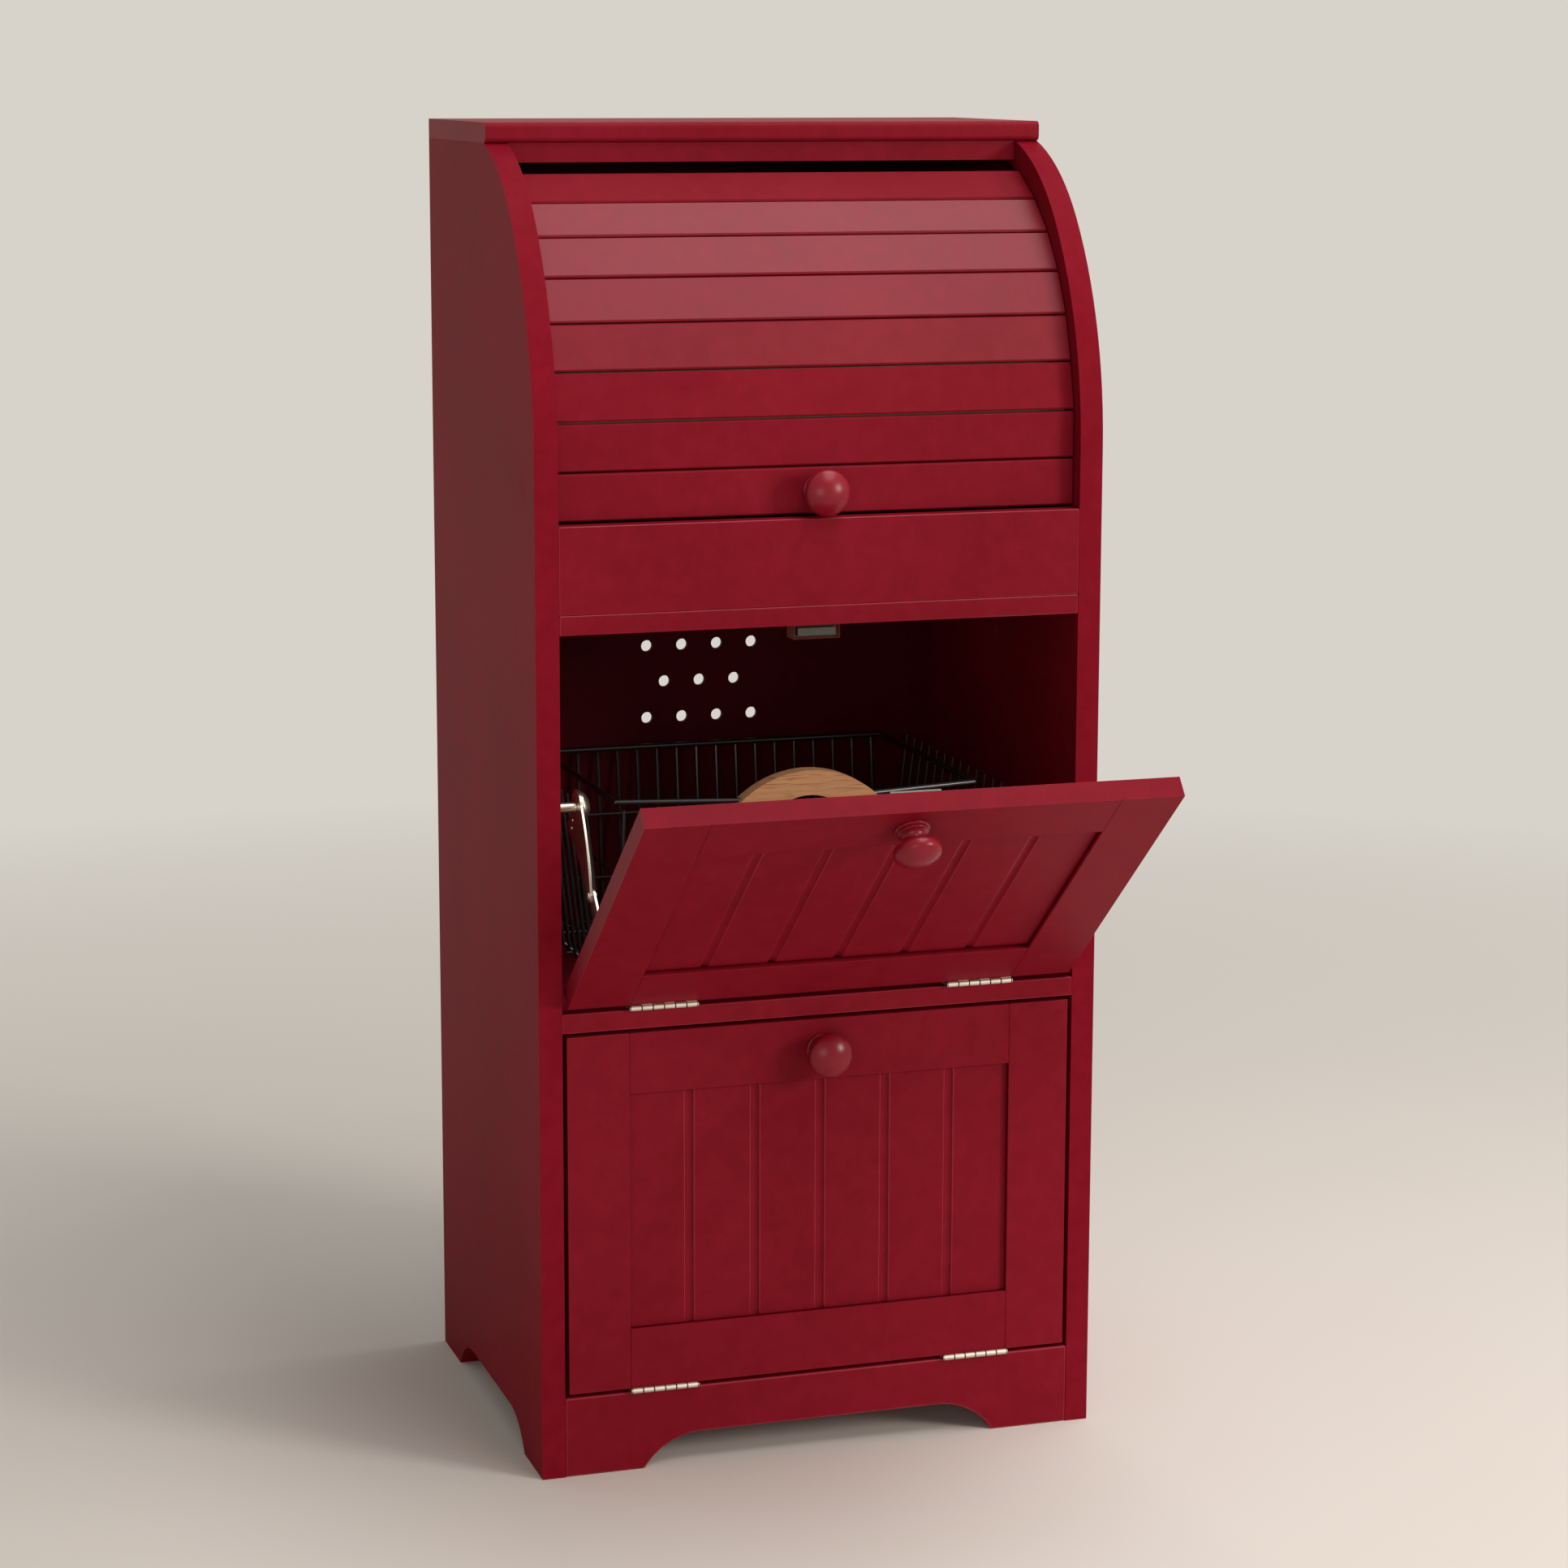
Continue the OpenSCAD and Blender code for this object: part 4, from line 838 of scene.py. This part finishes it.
print("baskets")
for door in doors:
    body = door + "_basket"
    low, high = (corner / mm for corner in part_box(body + "_rim"))
    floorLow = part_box(body + "_floor")[0] / mm
    rimRadius = (high.z - low.z) / 2
    middle = Vector((0, (low.y + high.y) / 2, (low.z + high.z) / 2))
    rimX, rimY = high.x - rimRadius, (high.y - low.y) / 2 - rimRadius
    floorZ = floorLow.z + basket["wire"] - middle.z
    floorIn = abs(-rimX - floorLow.x + basket["wire"])
    floorX, floorY = rimX - floorIn, rimY - floorIn
    place = Matrix.Translation(middle * mm)
    longHalf, shortHalf = rimX - basket["corner"], rimY - basket["corner"]
    wireEnd = basket["handle"] / 2 - basket["wireIn"]

    path = filleted([
        (-wireEnd, -rimY, 0), (-rimX, -rimY, 0), (-rimX, rimY, 0),
        (rimX, rimY, 0), (rimX, -rimY, 0), (wireEnd, -rimY, 0),
    ], basket["corner"], 10)
    rim = merged([(wires([path], rimRadius, 16), place)])
    addPiece(body + "_rim_wire", rim, body, "black_wire", black, [body + "_rim"])

    uprights = []
    top = basket["rings"][0] * floorZ
    wireTop = basket["tuck"] - rimRadius
    for side in (-1, 1):
        for x in spacedOut(longHalf, basket["longWires"]):
            if side < 0 and abs(x) < basket["handle"] / 2 + basket["handleGap"]:
                start = (x, side * (rimY - floorIn * basket["rings"][0]), top)  # stops below the handle
            else:
                start = (x, side * rimY, wireTop)
            uprights.append(filleted([
                start, (x, side * floorY, floorZ), (x, side * (floorY - basket["foot"]), floorZ),
            ], basket["bend"], 4))
        for y in spacedOut(shortHalf, basket["shortWires"]):
            uprights.append(filleted([
                (side * rimX, y, wireTop), (side * floorX, y, floorZ),
                (side * (floorX - basket["foot"]), y, floorZ),
            ], basket["bend"], 4))
    rings = []
    for share in basket["rings"]:
        x, y, z = rimX - floorIn * share, rimY - floorIn * share, floorZ * share
        if share == 1:
            z = floorZ + basket["wire"]
        ring = [(-x, -y, z), (x, -y, z), (x, y, z), (-x, y, z)]
        rings.append(filleted(ring, basket["ringCorner"], 5, True))
    walls = merged([
        (wires(uprights, basket["wire"]), place), (wires(rings, basket["wire"], 8, True), place),
    ])
    addPiece(body + "_wall_wires", walls, body, "black_wire", black, [body + "_walls"])

    footY = floorY - basket["foot"]
    crossX, crossZ = floorX - basket["crossIn"], floorZ + basket["crossLift"]
    flat = [
        [Vector((x, -footY, floorZ)), Vector((x, footY, floorZ))]
        for x in spacedOut(longHalf, basket["longWires"])
    ]
    flat += [
        [Vector((-crossX, share * floorY, crossZ)), Vector((crossX, share * floorY, crossZ))]
        for share in basket["crossWires"]
    ]
    floor = merged([(wires(flat, basket["wire"]), place)])
    addPiece(body + "_floor_wires", floor, body, "black_wire", black, [body + "_floor"])
    finished(body + "_handle", basket["handleEdge"], oak, 4, shortest=0.3)


print("studio")
studio = {  # metres; the floor fades into the background between fadeFrom and fadeTo
    "floorHalf": 40, "floorColour": tone(236, 230, 220), "floorShade": tone(226, 220, 210),
    "backColour": tone(216, 211, 202), "ambientColour": tone(250, 248, 244), "ambient": 0.30,
    "fadeFrom": 0.8, "fadeTo": 2.6,
}


def paleFloor():
    finish = Finish("paleFloor", Specular_IOR_Level=0.2)
    cloud = finish.noise(3, 3)
    far = finish.node("ShaderNodeVectorMath", {"operation": "LENGTH"}, {0: finish.place()}, "Value")
    fade = finish.spread(far, studio["fadeFrom"], studio["fadeTo"])
    near = finish.blend(cloud * 0.3, studio["floorColour"], studio["floorShade"])
    finish.put(Base_Color=near, Roughness=0.75 + cloud * 0.1)
    glow = finish.node("ShaderNodeEmission", {}, {"Color": studio["backColour"], "Strength": 1.0})
    mix = finish.tree.nodes.new("ShaderNodeMixShader")
    output = [node for node in finish.tree.nodes if node.type == "OUTPUT_MATERIAL"][0]
    finish.tree.links.new(fade.socket, mix.inputs[0])
    finish.tree.links.new(finish.shader.outputs[0], mix.inputs[1])
    finish.tree.links.new(glow.socket, mix.inputs[2])
    finish.tree.links.new(mix.outputs[0], output.inputs[0])
    return finish.material


bm = bmesh.new()
bmesh.ops.create_grid(bm, x_segments=8, y_segments=8, size=studio["floorHalf"])
mesh = bpy.data.meshes.new("studioFloor")
bm.to_mesh(mesh)
bm.free()
mesh.materials.append(paleFloor())
ground = bpy.data.objects.new("studioFloor", mesh)
bpy.context.scene.collection.objects.link(ground)

world = bpy.data.worlds.new("studio")
world.use_nodes = True
tree = world.node_tree
tree.nodes.clear()
ray = tree.nodes.new("ShaderNodeLightPath")
seen = tree.nodes.new("ShaderNodeMath")
seen.operation = "ADD"
seenToo = tree.nodes.new("ShaderNodeMath")
seenToo.operation = "ADD"
seenToo.use_clamp = True
tree.links.new(ray.outputs["Is Camera Ray"], seen.inputs[0])
tree.links.new(ray.outputs["Is Glossy Ray"], seen.inputs[1])
tree.links.new(seen.outputs[0], seenToo.inputs[0])
tree.links.new(ray.outputs["Is Transmission Ray"], seenToo.inputs[1])
back = tree.nodes.new("ShaderNodeBackground")
back.inputs["Color"].default_value = studio["backColour"]
ambient = tree.nodes.new("ShaderNodeBackground")
ambient.inputs["Color"].default_value = studio["ambientColour"]
ambient.inputs["Strength"].default_value = studio["ambient"]
choose = tree.nodes.new("ShaderNodeMixShader")
tree.links.new(seenToo.outputs[0], choose.inputs[0])
tree.links.new(ambient.outputs[0], choose.inputs[1])
tree.links.new(back.outputs[0], choose.inputs[2])
worldOutput = tree.nodes.new("ShaderNodeOutputWorld")
tree.links.new(choose.outputs[0], worldOutput.inputs[0])
bpy.context.scene.world = world

lamps = {  # name: place, what it looks at, width and length in metres, watts, colour
    "keyLamp": ((3.0, -2.9, 1.6), (0, 0, 0.45), (1.1, 1.1), 78, (1.0, 0.955, 0.89)),
    "topLamp": ((0.7, -0.80, 2.8), (0.7, -0.79, 0), (1.4, 2.7), 50, (1.0, 0.95, 0.98)),
    "fillLamp": ((-1.4, -3.4, 0.9), (0, 0, 0.4), (1.4, 1.4), 14, (1.0, 0.955, 0.89)),
}
for name, (place, aim, size, watts, colour) in lamps.items():
    lamp = bpy.data.lights.new(name, "AREA")
    lamp.shape = "RECTANGLE"
    lamp.size, lamp.size_y = size
    lamp.energy = watts
    lamp.color = colour
    holder = bpy.data.objects.new(name, lamp)
    holder.location = place
    holder.rotation_euler = (Vector(place) - Vector(aim)).to_track_quat("Z", "Y").to_euler()
    holder.visible_camera = False
    bpy.context.scene.collection.objects.link(holder)

shot = {  # place in metres, lens and sensor in mm, turns in degrees
    "place": (-0.8817, -2.6989, 1.0568), "lens": 87.03, "sensor": 36, "shift": -0.035,
    "turn": 17.828, "down": 10.02, "roll": 0.149,
}
camera = bpy.data.cameras.new("camera")
camera.lens = shot["lens"]
camera.sensor_width = shot["sensor"]
camera.shift_y = shot["shift"]
holder = bpy.data.objects.new("camera", camera)
aim = Matrix.Rotation(radians(-shot["turn"]), 4, "Z") @ Matrix.Rotation(radians(90 - shot["down"]), 4, "X")
roll = Matrix.Rotation(radians(shot["roll"]), 4, "Z")
holder.matrix_world = Matrix.Translation(shot["place"]) @ aim @ roll
bpy.context.scene.collection.objects.link(holder)
bpy.context.scene.camera = holder
bpy.context.scene.view_settings.view_transform = "Standard"
